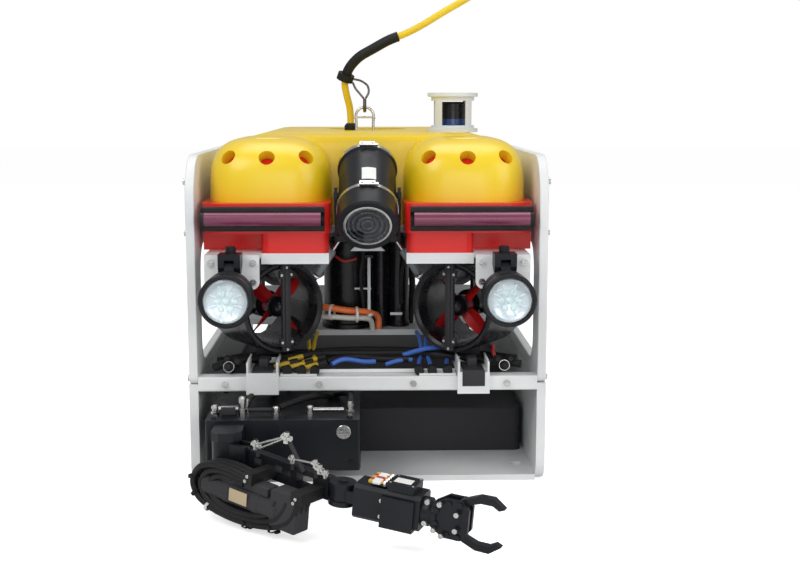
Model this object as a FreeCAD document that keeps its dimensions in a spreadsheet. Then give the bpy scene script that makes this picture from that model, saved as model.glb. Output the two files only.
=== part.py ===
"""Underwater inspection vehicle on a manipulator skid, as a parametric document in millimetres.

Frame: +X to the viewer's right seen from the front, +Y backwards, +Z up.
Origin: on the skid's underside, at the middle of its length and width.
"""
import FreeCAD, Part
import math
import os
import Sketcher

Vector = FreeCAD.Vector
doc = FreeCAD.newDocument("inspection_rov")
sheet = doc.addObject("Spreadsheet::Sheet", "sizes")

SIZES = {
    # frame
    "half_length": 500, "half_width": 300, "wall_thick": 15, "frame_top": 555, "frame_corner": 75,
    "foot_corner": 38, "post_wide": 67, "sill_tall": 25, "window_top": 400, "window_rib": 60,
    "window_corner": 45, "skid_tall": 173, "skid_gap": 0.5, "skid_base_thick": 10, "base_inset": 12,
    "lash_radius": 10.5, "lash_inset": 24, "lash_setback": 80,
    "block_low": 12, "block_top": 91, "block_side_gap": 6,
    "block_corner": 12,
    "beam_low": 161, "beam_tall": 25, "beam_deep": 30,
    "deck_low": 225, "deck_thick": 10, "deck_back": 215, "deck_hole": 76,
    "tray_low": 416, "tray_thick": 10,
    # float
    "float_low": 476, "float_top": 586,
    "float_corner": 58, "lobe_inner": 63,
    "lobe_corner": 62, "lobe_hole": 14,
    "lobe_hole_pitch": 64, "liner_thick": 4,
    "well_y": 180, "well_gap": 0.4,
    # bumpers
    "bumper_inner": 62,
    "bumper_round": 40, "bumper_small_round": 14, "block_inner": 65,
    "hood_low": 392, "hood_side_low": 394,
    "channel_thick": 12, "channel_edge": 3, "channel_tall": 40, "tube_radius": 11.5, "tube_half": 98,
    "cap_long": 7, "foot_thick": 18,
    # lamps
    "lamp_plate_wide": 90, "lamp_plate_low": 337, "lamp_plate_thick": 8,
    "lamp_pivot_z": 378, "lamp_tilt": 3,
    "lamp_radius": 43, "lamp_long": 60, "lamp_drop": 42, "lamp_offset": 15, "lamp_wall": 6,
    "lug_wide": 15.4, "ear_thick": 10, "ear_radius": 11, "pin_radius": 4, "pin_gap": 0.05, "side_gap": 0.3,
    # thrusters
    "duct_z": 294, "duct_yaw": 34, "duct_radius": 78, "duct_throat": 66, "duct_half": 63, "motor_radius": 24,
    "duct_flare": 30, "motor_front": 8,
    "motor_back": 56, "strut_thick": 6, "shaft_radius": 5, "shaft_gap": 0.05, "hub_radius": 17,
    "hub_front": 40, "hub_back": 12, "cone_long": 20, "blade_wide": 30,
    "blade_thick": 5, "blade_pitch": 38, "saddle_wide": 36, "saddle_deep": 30,
    "vertical_half": 60,
    # bay
    "pod_radius": 42, "pod_x": 38, "column_radius": 13, "column_x": 24, "side_pod_radius": 18,
    "side_pod_x": 57, "flange_thick": 8, "flange_extra": 4,
    # camera
    "camera_z": 486.5, "camera_tilt": 33, "camera_radius": 50.5, "camera_half": 84,
    "camera_bore": 40, "camera_ring": 9, "trunnion_radius": 6, "cheek_thick": 5, "cheek_gap": 0.6,
    "cheek_wide": 26, "cradle_low": 416, "strut_lean": 35, "band_thick": 2, "band_wide": 12,
    # sonar
    "sonar_y": 150, "cage_radius": 48, "cage_body": 41, "cage_tall": 74, "cage_lip": 7,
    "cage_window": 22, "head_radius": 25,
    # lift
    "bail_x": -5, "bail_half": 17, "bail_radius": 5, "ring_radius": 10.5, "ring_wire": 3.5,
    "tether_radius": 7, "sleeve_radius": 10, "strop_radius": 2.2, "gland_radius": 13, "gland_tall": 14,
    # arm
    "base_right": 14, "base_low": 53, "base_top": 137,

    "slew_z": 96, "slew_radius": 12, "yoke_radius": 24, "yoke_gap": 0.4,
    "slew_ear": 14, "upper_yaw": 38, "upper_pitch": 6, "lift_out": 38, "lift_radius": 7,
    "upper_long": 196, "upper_wide": 16, "upper_tall": 34, "elbow_radius": 20, "elbow_pin": 7,
    "elbow_turn": 16, "fore_long": 128, "fore_tall": 52, "fore_wide": 46, "wrist_radius": 21,
    "wrist_shaft": 9, "wrist_long": 26,
    "palm_long": 66, "palm_tall": 58, "palm_thick": 7, "palm_side_gap": 0.4, "gear_pitch": 12, "gear_teeth": 12,
    "jaw_thick": 12, "jaw_long": 66, "jaw_pin": 4, "jaw_open": 24,
    "bundle_side": 44, "bundle_pitch": 11, "bundle_radius": 5, "bolt_head": 5.5, "bolt_tall": 4,
    # distances kept from the size that each piece follows
    "float_gap": 30, "float_setback": 155, "step_setback": 205, "float_tail": 30, "lobe_gap": 27, "lobe_setback": 30,
    "lobe_drop": 12, "hole_deep": 38,
    "bumper_setback": 10, "bumper_tail": 200, "bumper_gap": 22, "block_gap": 45, "hood_setback": 20,
    "hood_side_setback": 60, "foot_tail": 100,
    "lamp_inset": 77, "lamp_plate_reach": 20, "lamp_reach": 48,
    "deck_setback": 170, "tray_setback": 125, "tray_tail": 30, "pod_setback": 45, "camera_setback": 50.5,
    "duct_setback": 105, "duct_lip": 7, "tip_gap": 5, "bail_rise": 48,
    "base_gap": 38, "base_reach": 100, "base_tail": 158, "base_foot_tail": 60, "slew_inset": 78, "slew_reach": 40,
    "block_clear": 7, "block_tail": 70, "duct_inset": 123, "nose_gap": 27, "well_clear": 6, "sonar_inset": 107,
    "hose_inset": 55,
    # shares of a height
    "crown_share": 0.6122, "hole_share": 0.6531,
}
# a size that follows another one: the size, the sign, and the distance or share
FOLLOWS = {
    "float_half": "half_width - float_gap", "float_front": "half_length - float_setback",
    "float_step": "half_length - step_setback", "float_back": "half_length - float_tail",
    "lobe_outer": "half_width - lobe_gap", "lobe_front": "half_length - lobe_setback",
    "lobe_top": "float_top - lobe_drop", "lobe_tall": "lobe_top - float_low",
    "lobe_crown": "lobe_tall * crown_share", "hole_rise": "lobe_tall * hole_share",
    "lobe_hole_z": "float_low + hole_rise",
    "lobe_hole_end": "lobe_front - hole_deep",
    "bumper_front": "half_length - bumper_setback", "bumper_back": "half_length - bumper_tail",
    "bumper_outer": "half_width - bumper_gap", "lamp_x": "half_width - lamp_inset",
    "block_outer": "lamp_x - block_gap", "hood_front": "half_length - hood_setback",
    "hood_side_front": "half_length - hood_side_setback", "foot_back": "half_length - foot_tail",
    "lamp_plate_front": "half_length + lamp_plate_reach", "lamp_pivot_y": "half_length + lamp_reach",
    "deck_front": "half_length - deck_setback", "tray_front": "half_length - tray_setback",
    "tray_back": "half_length - tray_tail", "pod_y": "deck_front - pod_setback",
    "camera_y": "half_length - camera_setback",
    "duct_x": "half_width - duct_inset", "duct_y": "half_length - duct_setback",
    "duct_mouth": "duct_radius - duct_lip", "blade_tip": "duct_throat - tip_gap",
    "deck_nose": "duct_x - nose_gap", "well_radius": "duct_radius + well_clear",
    "sonar_x": "float_half - sonar_inset", "hose_reach": "duct_x - hose_inset",
    "bail_top": "float_top + bail_rise",
    "base_left": "half_width - base_gap", "base_front": "half_length + base_reach",
    "base_back": "half_length - base_tail", "base_foot": "half_length - base_foot_tail",
    "slew_x": "half_width - slew_inset", "slew_y": "base_front + slew_reach",
    "block_front": "base_back - block_clear", "block_back": "half_length - block_tail",
}


def follow(word):
    """Work out a following size from the two sizes that its formula names."""
    first, sign, second = FOLLOWS[word].split()
    a, b = SIZES[first], SIZES[second]
    return {"-": a - b, "+": a + b, "*": a * b}[sign]


for word in FOLLOWS:
    SIZES[word] = follow(word)
for row, (word, number) in enumerate(SIZES.items(), 1):
    sheet.set(f"A{row}", word)
    sheet.set(f"B{row}", str(number))
    sheet.setAlias(f"B{row}", word)
doc.recompute()
for row, word in enumerate(SIZES, 1):
    if word in FOLLOWS:
        sheet.set(f"B{row}", "=" + FOLLOWS[word])
doc.recompute()


class Size:
    """A length or angle with the spreadsheet formula that gives it."""

    def __init__(self, value, text):
        self.value = float(value)
        self.text = text

    def __add__(self, other):
        other = as_size(other)
        return Size(self.value + other.value, f"({self.text} + {other.text})")

    def __sub__(self, other):
        other = as_size(other)
        return Size(self.value - other.value, f"({self.text} - {other.text})")

    def __mul__(self, other):
        other = as_size(other)
        return Size(self.value * other.value, f"({self.text} * {other.text})")

    def __truediv__(self, other):
        other = as_size(other)
        return Size(self.value / other.value, f"({self.text} / {other.text})")

    def __neg__(self):
        return Size(-self.value, f"(0 - {self.text})")

    def __radd__(self, other):
        return as_size(other) + self

    def __rsub__(self, other):
        return as_size(other) - self

    def __rmul__(self, other):
        return as_size(other) * self


def as_size(item):
    """Give a plain number the same form as a sheet value."""
    if isinstance(item, Size):
        return item
    return Size(item, f"({float(item)!r})")


class Sheet:
    """Reads the spreadsheet's cells by alias."""

    def __getattr__(self, word):
        return Size(SIZES[word], f"sizes.{word}")


S = Sheet()


def sine(angle):
    angle = as_size(angle)
    return Size(math.sin(math.radians(angle.value)), f"sin({angle.text})")


def cosine(angle):
    angle = as_size(angle)
    return Size(math.cos(math.radians(angle.value)), f"cos({angle.text})")


# ---------------------------------------------------------------- document helpers
finished = []


def bind(item, **sizes):
    """Bind properties to sheet formulas."""
    for name, size in sizes.items():
        item.setExpression(name, as_size(size).text)


def place(x=0, y=0, z=0, yaw=0, pitch=0, roll=0):
    """Formula of a placement: a move and yaw-pitch-roll turn."""
    move = "; ".join(as_size(item).text for item in (x, y, z))
    turn = "; ".join(as_size(item).text for item in (yaw, pitch, roll))
    return f"create(<<placement>>; create(<<vector>>; {move}); create(<<rotation>>; {turn}))"


def seat(item, *steps):
    """Place an object by the product of placement formulas."""
    item.setExpression("Placement", " * ".join(steps))
    return item


def node(item, label):
    """Name a finished sub-part and keep it for export."""
    item.Label = label
    finished.append(item)
    return item


def new_body(name):
    return doc.addObject("PartDesign::Body", name)


def sketch(body, name, role, lift=0, spin=0):
    """Attach a sketch to one of its body's origin planes."""
    made = body.newObject("Sketcher::SketchObject", name)
    plane = next(item for item in body.Origin.OriginFeatures if item.Role == role)
    made.AttachmentSupport = [(plane, "")]
    made.MapMode = "FlatFace"
    lift = as_size(lift)
    spin = as_size(spin)
    made.AttachmentOffset = FreeCAD.Placement(
        Vector(0, 0, lift.value), FreeCAD.Rotation(Vector(0, 0, 1), spin.value))
    made.setExpression("AttachmentOffset.Base.z", lift.text)
    if spin.value:
        made.setExpression("AttachmentOffset.Rotation.Angle", spin.text)
    return made


def outline(made, points):
    """Draw a closed outline through points bound to the sheet."""
    points = [(as_size(a), as_size(b)) for a, b in points]
    first = made.GeometryCount
    count = len(points)
    for index in range(count):
        start = points[index]
        stop = points[(index + 1) % count]
        made.addGeometry(Part.LineSegment(
            Vector(start[0].value, start[1].value, 0), Vector(stop[0].value, stop[1].value, 0)), False)
    for index in range(count):
        following = (index + 1) % count
        made.addConstraint(Sketcher.Constraint("Coincident", first + index, 2, first + following, 1))
    for index, point in enumerate(points):
        for kind, size in zip(("DistanceX", "DistanceY"), point):
            rule = made.addConstraint(Sketcher.Constraint(kind, -1, 1, first + index, 1, size.value))
            made.setExpression(f"Constraints[{rule}]", size.text)
    return made


def ring(made, x, y, radius):
    """Draw a circle bound to the sheet."""
    x, y, radius = as_size(x), as_size(y), as_size(radius)
    index = made.addGeometry(Part.Circle(Vector(x.value, y.value, 0), Vector(0, 0, 1), radius.value), False)
    for kind, size in (("DistanceX", x), ("DistanceY", y)):
        rule = made.addConstraint(Sketcher.Constraint(kind, -1, 1, index, 3, size.value))
        made.setExpression(f"Constraints[{rule}]", size.text)
    rule = made.addConstraint(Sketcher.Constraint("Radius", index, radius.value))
    made.setExpression(f"Constraints[{rule}]", radius.text)
    return made


def pad(body, made, length, reverse=False, middle=False):
    feature = body.newObject("PartDesign::Pad", made.Name + "_pad")
    feature.Profile = made
    bind(feature, Length=length)
    feature.Reversed = reverse
    feature.Midplane = middle
    doc.recompute()
    return feature


def pocket(body, made, length=None, reverse=False, middle=False):
    """Cut a pocket and make sure that it removes material."""
    before = body.Shape.Volume
    feature = body.newObject("PartDesign::Pocket", made.Name + "_pocket")
    feature.Profile = made
    if length is None:
        feature.Type = "ThroughAll"
    else:
        bind(feature, Length=length)
    feature.Reversed = reverse
    feature.Midplane = middle
    doc.recompute()
    if not body.Shape.Volume < before - 0.01:
        raise RuntimeError(f"{feature.Name} cuts nothing")
    return feature


def turn(body, made, axis="V_Axis"):
    feature = body.newObject("PartDesign::Revolution", made.Name + "_turn")
    feature.Profile = made
    feature.ReferenceAxis = (made, [axis])
    feature.Angle = 360
    doc.recompute()
    return feature


def soften(body, radius, test, kind="Fillet"):
    """Fillet or chamfer the tip's edges that pass a test on their middle point and direction."""
    base = body.Tip
    names = []
    for index, edge in enumerate(base.Shape.Edges, 1):
        middle = edge.valueAt((edge.FirstParameter + edge.LastParameter) / 2)
        start = edge.valueAt(edge.FirstParameter)
        stop = edge.valueAt(edge.LastParameter)
        if test(middle, stop - start):
            names.append(f"Edge{index}")
    if not names:
        raise RuntimeError(f"no edge to soften on {body.Name}")
    feature = body.newObject(f"PartDesign::{kind}", f"{body.Name}_soft{len(body.Group)}")
    feature.Base = (base, names)
    bind(feature, **{"Radius" if kind == "Fillet" else "Size": radius})
    doc.recompute()
    return feature


def along(direction, axis):
    """Whether an edge runs along one axis only."""
    values = [abs(direction.x), abs(direction.y), abs(direction.z)]
    length = values.pop("xyz".index(axis))
    return length > 0.5 and max(values) < 0.01


def near(number, size):
    return abs(number - as_size(size).value) < 0.05


def block(name, low, high):
    """A box between two corners bound to the sheet."""
    made = doc.addObject("Part::Box", name)
    steps = [as_size(b) - as_size(a) for a, b in zip(low, high)]
    bind(made, Length=steps[0], Width=steps[1], Height=steps[2])
    seat(made, place(*low))
    return made


AXES = {"x": (0, 90, 0), "y": (0, 0, -90), "z": (0, 0, 0)}


def rod(name, start, axis, radius, length):
    """A cylinder from a point along +X, +Y or +Z."""
    made = doc.addObject("Part::Cylinder", name)
    bind(made, Radius=radius, Height=length)
    seat(made, place(*start, *AXES[axis]))
    return made


def fuse(name, *items):
    made = doc.addObject("Part::MultiFuse", name)
    made.Shapes = list(items)
    made.Refine = True
    doc.recompute()
    return made


def group(name, *items):
    """Separate solids that share one node."""
    made = doc.addObject("Part::Compound", name)
    made.Links = list(items)
    doc.recompute()
    return made


def cut(name, base, *tools):
    tool = tools[0] if len(tools) == 1 else fuse(name + "_tools", *tools)
    made = doc.addObject("Part::Cut", name)
    made.Base = base
    made.Tool = tool
    doc.recompute()
    if not made.Shape.Volume < base.Shape.Volume - 0.001:
        raise RuntimeError(f"{name} cuts nothing")
    return made


def common(name, base, tool):
    made = doc.addObject("Part::Common", name)
    made.Base = base
    made.Tool = tool
    doc.recompute()
    return made


def lathe(name, points, *steps):
    """A body turned about its own Z axis from (radius, height) points."""
    body = new_body(name)
    made = outline(sketch(body, name + "_profile", "XZ_Plane"), points)
    turn(body, made)
    if steps:
        seat(body, *steps)
    return body


def route_wire(points, first=0, last=None):
    """Straight runs joined by tangent arcs, each arc as large as its two runs allow."""
    points = [Vector(*point) for point in points]
    pieces = []
    radii = []
    start = points[0]
    for before, corner, after in zip(points, points[1:], points[2:]):
        back = (before - corner)
        ahead = (after - corner)
        back_run, ahead_run = back.Length, ahead.Length
        back.normalize()
        ahead.normalize()
        half = (math.pi - back.getAngle(ahead)) / 2
        setback = 0.45 * min(back_run, ahead_run)
        radius = setback / math.tan(half)
        enter = corner + back * setback
        leave = corner + ahead * setback
        bisector = back + ahead
        bisector.normalize()
        middle = corner + bisector * (radius / math.cos(half) - radius)
        pieces.append(Part.LineSegment(start, enter).toShape())
        pieces.append(Part.Arc(enter, middle, leave).toShape())
        radii.append(radius)
        start = leave
    pieces.append(Part.LineSegment(start, points[-1]).toShape())
    chosen = pieces[first:last]
    return Part.Wire(chosen), radii


def cord_solid(wire, radius, bore=0):
    """A round tube swept along a wire, with a bore where one is asked for."""
    start = wire.Edges[0].valueAt(wire.Edges[0].FirstParameter)
    heading = wire.Edges[0].tangentAt(wire.Edges[0].FirstParameter)

    def sweep(size):
        section = Part.Wire([Part.Edge(Part.Circle(start, heading, size))])
        return wire.makePipeShell([section], True, False)

    solid = sweep(radius)
    if bore:
        solid = solid.cut(sweep(bore))
    return solid


def hose(name, points, radius, report=False, **span):
    """A cord as a feature of its own, its volume compared with section times length."""
    wire, radii = route_wire(points, **span)
    solid = cord_solid(wire, radius)
    wanted = math.pi * radius ** 2 * wire.Length
    if abs(solid.Volume - wanted) > 0.01 * wanted:
        raise RuntimeError(f"{name}: volume {solid.Volume:.0f}, expected {wanted:.0f}")
    if report:
        print(name, "length", round(wire.Length, 1), "radii", [round(item, 1) for item in radii])
    made = doc.addObject("Part::Feature", name)
    made.Shape = solid
    return made


def screws(name, spots, axis, sign=1):
    """Round heads standing on a face, one per spot, all along one axis."""
    heads = []
    for index, (x, y, z) in enumerate(spots):
        start = [as_size(x), as_size(y), as_size(z)]
        if sign < 0:
            spot = "xyz".index(axis)
            start[spot] = start[spot] - S.bolt_tall
        heads.append(rod(f"{name}_{index}", start, axis, S.bolt_head, S.bolt_tall))
    return heads


# ---------------------------------------------------------------- frame
def side_plate(side, label):
    """White frame plate with a rounded front and two large windows."""
    body = new_body(label)
    front, back = -S.half_length, S.half_length
    lift = S.half_width - S.wall_thick if side > 0 else -S.half_width
    low = S.skid_tall + S.skid_gap
    pad(body, outline(sketch(body, label + "_edge", "YZ_Plane", lift), [
        (front, low), (back, low), (back, S.frame_top), (front, S.frame_top)]), S.wall_thick)
    soften(body, S.frame_corner, lambda p, d: along(d, "x") and near(p.z, S.frame_top))
    soften(body, S.foot_corner / 3, lambda p, d: along(d, "x") and near(p.z, low))
    sill = low + S.sill_tall
    for tag, a, b in (("front", front + S.post_wide, -S.window_rib / 2),
                      ("rear", S.window_rib / 2, back - S.post_wide)):
        pocket(body, outline(sketch(body, f"{label}_{tag}", "YZ_Plane", lift), [
            (a, sill), (b, sill), (b, S.window_top), (a, S.window_top)]), S.wall_thick * 2, middle=True)
        soften(body, S.window_corner, lambda p, d: along(d, "x") and (
            (near(p.y, a) or near(p.y, b)) and (near(p.z, sill) or near(p.z, S.window_top))))
    soften(body, S.wall_thick / 7, lambda p, d: d.Length > 5 and not along(d, "x"))
    return node(body, label)


def skid_sides():
    """Skid side plates under the frame plates, with rounded feet."""
    made = []
    for side, tag in ((-1, "left"), (1, "right")):
        body = new_body("skid_side_" + tag)
        lift = S.half_width - S.wall_thick if side > 0 else -S.half_width
        front, back = -S.half_length, S.half_length
        pad(body, outline(sketch(body, body.Name + "_edge", "YZ_Plane", lift), [
            (front, 0), (back, 0), (back, S.skid_tall), (front, S.skid_tall)]), S.wall_thick)
        soften(body, S.foot_corner, lambda p, d: along(d, "x") and near(p.z, 0))
        made.append(body)
    return node(group("skid_side_pair", *made), "skid_sides")


def skid_base():
    """Base plate between the skid sides with four lashing holes."""
    body = new_body("skid_base_plate")
    reach = S.half_width - S.wall_thick
    front = S.half_length - S.base_inset
    pad(body, outline(sketch(body, "base_edge", "XY_Plane"), [
        (-reach, -front), (reach, -front), (reach, front), (-reach, front)]), S.skid_base_thick)
    holes = sketch(body, "base_holes", "XY_Plane")
    for x in (S.lash_inset - reach, reach - S.lash_inset):
        for y in (S.lash_setback - S.half_length, S.half_length - S.lash_setback):
            ring(holes, x, y, S.lash_radius)
    pocket(body, holes, S.skid_base_thick * 2, middle=True)
    return node(body, "skid_base")


def skid_block():
    """Black buoyancy and pump block carried on the skid base, relieved underneath."""
    body = new_body("skid_module")
    reach = S.half_width - S.wall_thick - S.block_side_gap
    pad(body, outline(sketch(body, "module_edge", "XY_Plane", S.skid_base_thick), [
        (-reach, -S.block_front), (reach, -S.block_front), (reach, S.block_back), (-reach, S.block_back)]),
        S.block_top - S.skid_base_thick)
    soften(body, S.block_corner, lambda p, d: along(d, "z"))
    soften(body, S.block_corner / 3, lambda p, d: near(p.z, S.block_top))
    return node(body, "skid_block")


def crossbeams():
    """White front and rear beams between the side plates."""
    made = []
    reach = S.half_width - S.wall_thick
    for tag, start in (("front", -S.half_length), ("rear", S.half_length - S.beam_deep)):
        body = new_body("crossbeam_" + tag)
        pad(body, outline(sketch(body, body.Name + "_end", "YZ_Plane", -reach), [
            (start, S.beam_low), (start + S.beam_deep, S.beam_low),
            (start + S.beam_deep, S.beam_low + S.beam_tall), (start, S.beam_low + S.beam_tall)]), reach * 2)
        soften(body, S.beam_tall / 8, lambda p, d: along(d, "x"))
        made.append(body)
    return node(group("crossbeam_pair", *made), "crossbeams")


def deck_plate():
    """Grey-white deck between the side plates, open under the vertical thruster."""
    body = new_body("deck")
    reach = S.half_width - S.wall_thick
    pad(body, outline(sketch(body, "deck_edge", "XY_Plane", S.deck_low), [
        (-S.deck_nose, -S.deck_front), (S.deck_nose, -S.deck_front),
        (S.deck_nose, -S.deck_back), (reach, -S.deck_back), (reach, S.deck_back + S.deck_hole / 4),
        (-reach, S.deck_back + S.deck_hole / 4), (-reach, -S.deck_back), (-S.deck_nose, -S.deck_back)]),
        S.deck_thick)
    pocket(body, ring(sketch(body, "deck_hole_cut", "XY_Plane", S.deck_low), 0, S.well_y / 2, S.deck_hole),
           S.deck_thick * 2, middle=True)
    return node(body, "deck_plate")


def float_tray():
    """White tray that carries the float, open under the vertical thruster."""
    body = new_body("tray")
    reach = S.half_width - S.wall_thick
    pad(body, outline(sketch(body, "tray_edge", "XY_Plane", S.tray_low), [
        (-reach, -S.tray_front), (reach, -S.tray_front), (reach, S.tray_back), (-reach, S.tray_back)]),
        S.tray_thick)
    pocket(body, ring(sketch(body, "tray_hole_cut", "XY_Plane", S.tray_low), 0, S.well_y, S.duct_mouth),
           S.tray_thick * 2, middle=True)
    return node(body, "float_tray")


def float_body():
    """Yellow float: rounded slab, two helmet-like front lobes, finger holes and the vertical well."""
    body = new_body("float_moulding")
    low = S.tray_low + S.tray_thick
    pad(body, outline(sketch(body, "float_side", "YZ_Plane"), [
        (-S.float_front, S.float_low), (-S.float_step, S.float_low), (-S.float_step, low),
        (S.float_back, low), (S.float_back, S.float_top), (-S.float_front, S.float_top)]),
        S.float_half * 2, middle=True)
    soften(body, S.float_corner, lambda p, d: along(d, "y") and near(p.z, S.float_top))
    soften(body, S.float_corner * 0.6, lambda p, d: near(p.y, S.float_back) and p.z > S.float_low.value)
    for tag, a, b in (("left", -S.lobe_outer, -S.lobe_inner), ("right", S.lobe_inner, S.lobe_outer)):
        pad(body, outline(sketch(body, "lobe_" + tag, "XY_Plane", S.float_low), [
            (a, -S.lobe_front), (b, -S.lobe_front), (b, -S.float_step), (a, -S.float_step)]),
            S.lobe_top - S.float_low)
        soften(body, S.lobe_corner, lambda p, d: along(d, "z") and near(p.y, -S.lobe_front))
        soften(body, S.lobe_crown, lambda p, d: near(p.z, S.lobe_top) and p.y < -S.float_front.value - 1
               and (a.value - 1 < p.x < b.value + 1))
    holes = sketch(body, "lobe_holes", "XZ_Plane", S.lobe_hole_end)
    for centre in (-(S.lobe_inner + S.lobe_outer) / 2, (S.lobe_inner + S.lobe_outer) / 2):
        for shift in (-S.lobe_hole_pitch, 0, S.lobe_hole_pitch):
            ring(holes, centre + shift, S.lobe_hole_z, S.lobe_hole)
    pocket(body, holes, S.lobe_front, reverse=True)
    wells = sketch(body, "well", "XY_Plane", low)
    ring(wells, 0, S.well_y, S.well_radius)
    for x in (S.bail_x - S.bail_half, S.bail_x + S.bail_half):
        ring(wells, x, 0, S.bail_radius + S.well_gap)
    pocket(body, wells, S.float_top, reverse=True)
    return node(body, "float")


def hole_liners():
    """Red discs at the bottom of the lobes' holes."""
    made = []
    for centre in (-(S.lobe_inner + S.lobe_outer) / 2, (S.lobe_inner + S.lobe_outer) / 2):
        for shift in (-S.lobe_hole_pitch, 0, S.lobe_hole_pitch):
            made.append(rod(f"liner_{len(made)}",
                            (centre + shift, -S.lobe_hole_end - S.liner_thick, S.lobe_hole_z),
                            "y", S.lobe_hole, S.liner_thick))
    return node(group("liner_set", *made), "hole_liners")


# ---------------------------------------------------------------- bumpers and front brackets
def mirrored_span(side, inner, outer):
    """Low and high X of a span given by its distances from the middle."""
    return (-outer, -inner) if side < 0 else (inner, outer)


def bumper(side, label):
    """Red bumper under a float lobe: a band wrapping the corner, an inner block and a side hood."""
    body = new_body(label + "_moulding")
    low = S.tray_low + S.tray_thick
    a, b = mirrored_span(side, S.bumper_inner, S.bumper_outer)
    pad(body, outline(sketch(body, label + "_band", "XY_Plane", low), [
        (a, -S.bumper_front), (b, -S.bumper_front), (b, -S.bumper_back), (a, -S.bumper_back)]),
        S.float_low - low)
    outer = a if side < 0 else b
    inner = b if side < 0 else a
    soften(body, S.bumper_round, lambda p, d: along(d, "z") and near(p.y, -S.bumper_front) and near(p.x, outer))
    soften(body, S.bumper_small_round,
           lambda p, d: along(d, "z") and near(p.y, -S.bumper_front) and near(p.x, inner))
    a, b = mirrored_span(side, S.block_inner, S.block_outer)
    pad(body, outline(sketch(body, label + "_block", "XY_Plane", low), [
        (a, -S.hood_front), (b, -S.hood_front), (b, -S.tray_front - 1), (a, -S.tray_front - 1)]),
        low - S.hood_low, reverse=True)
    soften(body, S.bumper_small_round,
           lambda p, d: along(d, "z") and near(p.y, -S.hood_front) and p.z < low.value - 1)
    a, b = mirrored_span(side, S.block_outer, S.bumper_outer)
    pad(body, outline(sketch(body, label + "_hood", "XY_Plane", low), [
        (a, -S.hood_side_front), (b, -S.hood_side_front), (b, -S.tray_front - 1), (a, -S.tray_front - 1)]),
        low - S.hood_side_low, reverse=True)
    return node(body, label)


def fenders():
    """Black rubber channels on the bumpers and the plum tubes seated in them, with end caps."""
    channels = []
    tubes = []
    low = S.tray_low + S.tray_thick
    middle = low + (S.float_low - low) / 2
    centre_y = -S.bumper_front - S.channel_thick
    for side, tag in ((-1, "left"), (1, "right")):
        a, b = mirrored_span(side, S.bumper_inner + S.channel_edge * 3, S.bumper_outer - S.channel_edge)
        body = new_body("channel_" + tag)
        pad(body, outline(sketch(body, body.Name + "_strip", "YZ_Plane", a), [
            (-S.bumper_front, middle - S.channel_tall / 2), (-S.bumper_front, middle + S.channel_tall / 2),
            (centre_y, middle + S.channel_tall / 2), (centre_y, middle - S.channel_tall / 2)]), b - a)
        outer = a if side < 0 else b
        soften(body, S.channel_thick - S.channel_edge,
               lambda p, d: along(d, "z") and near(p.y, centre_y) and near(p.x, outer))
        soften(body, S.channel_edge,
               lambda p, d: along(d, "x") and near(p.y, centre_y))
        seat_cut = sketch(body, body.Name + "_seat", "YZ_Plane", a)
        pocket(body, ring(seat_cut, centre_y, middle, S.tube_radius), b - a, reverse=True)
        channels.append(body)
        centre = (a + b) / 2
        channels.append(rod(f"cap_{tag}", (a if side < 0 else b - S.cap_long, centre_y, middle), "x",
                            S.tube_radius, S.cap_long))
        start = a + S.cap_long if side < 0 else a + S.channel_edge * 2
        stop = b - S.channel_edge * 2 if side < 0 else b - S.cap_long
        tubes.append(rod(f"tube_{tag}", (start, centre_y, middle), "x", S.tube_radius, stop - start))
    node(group("channel_set", *channels), "fender_channels")
    return node(group("tube_set", *tubes), "fender_tubes")


def front_brackets():
    """White foot plates under the bumper blocks and the angle plates that carry the lamps."""
    made = []
    for side, tag in ((-1, "left"), (1, "right")):
        a, b = mirrored_span(side, S.block_inner, S.block_outer)
        foot = block("foot_" + tag, (a, -S.hood_front, S.hood_low - S.foot_thick), (b, -S.foot_back, S.hood_low))
        made.append(foot)
        middle = S.lamp_x if side > 0 else -S.lamp_x
        half = S.lamp_plate_wide / 2
        body = new_body("lamp_angle_" + tag)
        back = -S.lamp_plate_front + S.lamp_plate_thick
        top = S.hood_side_low
        pad(body, outline(sketch(body, body.Name + "_side", "YZ_Plane", middle - half), [
            (-S.lamp_plate_front, S.lamp_plate_low), (back, S.lamp_plate_low), (back, top - S.lamp_plate_thick),
            (-S.foot_back, top - S.lamp_plate_thick), (-S.foot_back, top), (-S.lamp_plate_front, top)]),
            S.lamp_plate_wide)
        soften(body, S.lamp_plate_thick * 1.5,
               lambda p, d: along(d, "y") and near(p.z, S.lamp_plate_low))
        made.append(body)
    return node(group("front_bracket_set", *made), "front_brackets")


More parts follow.
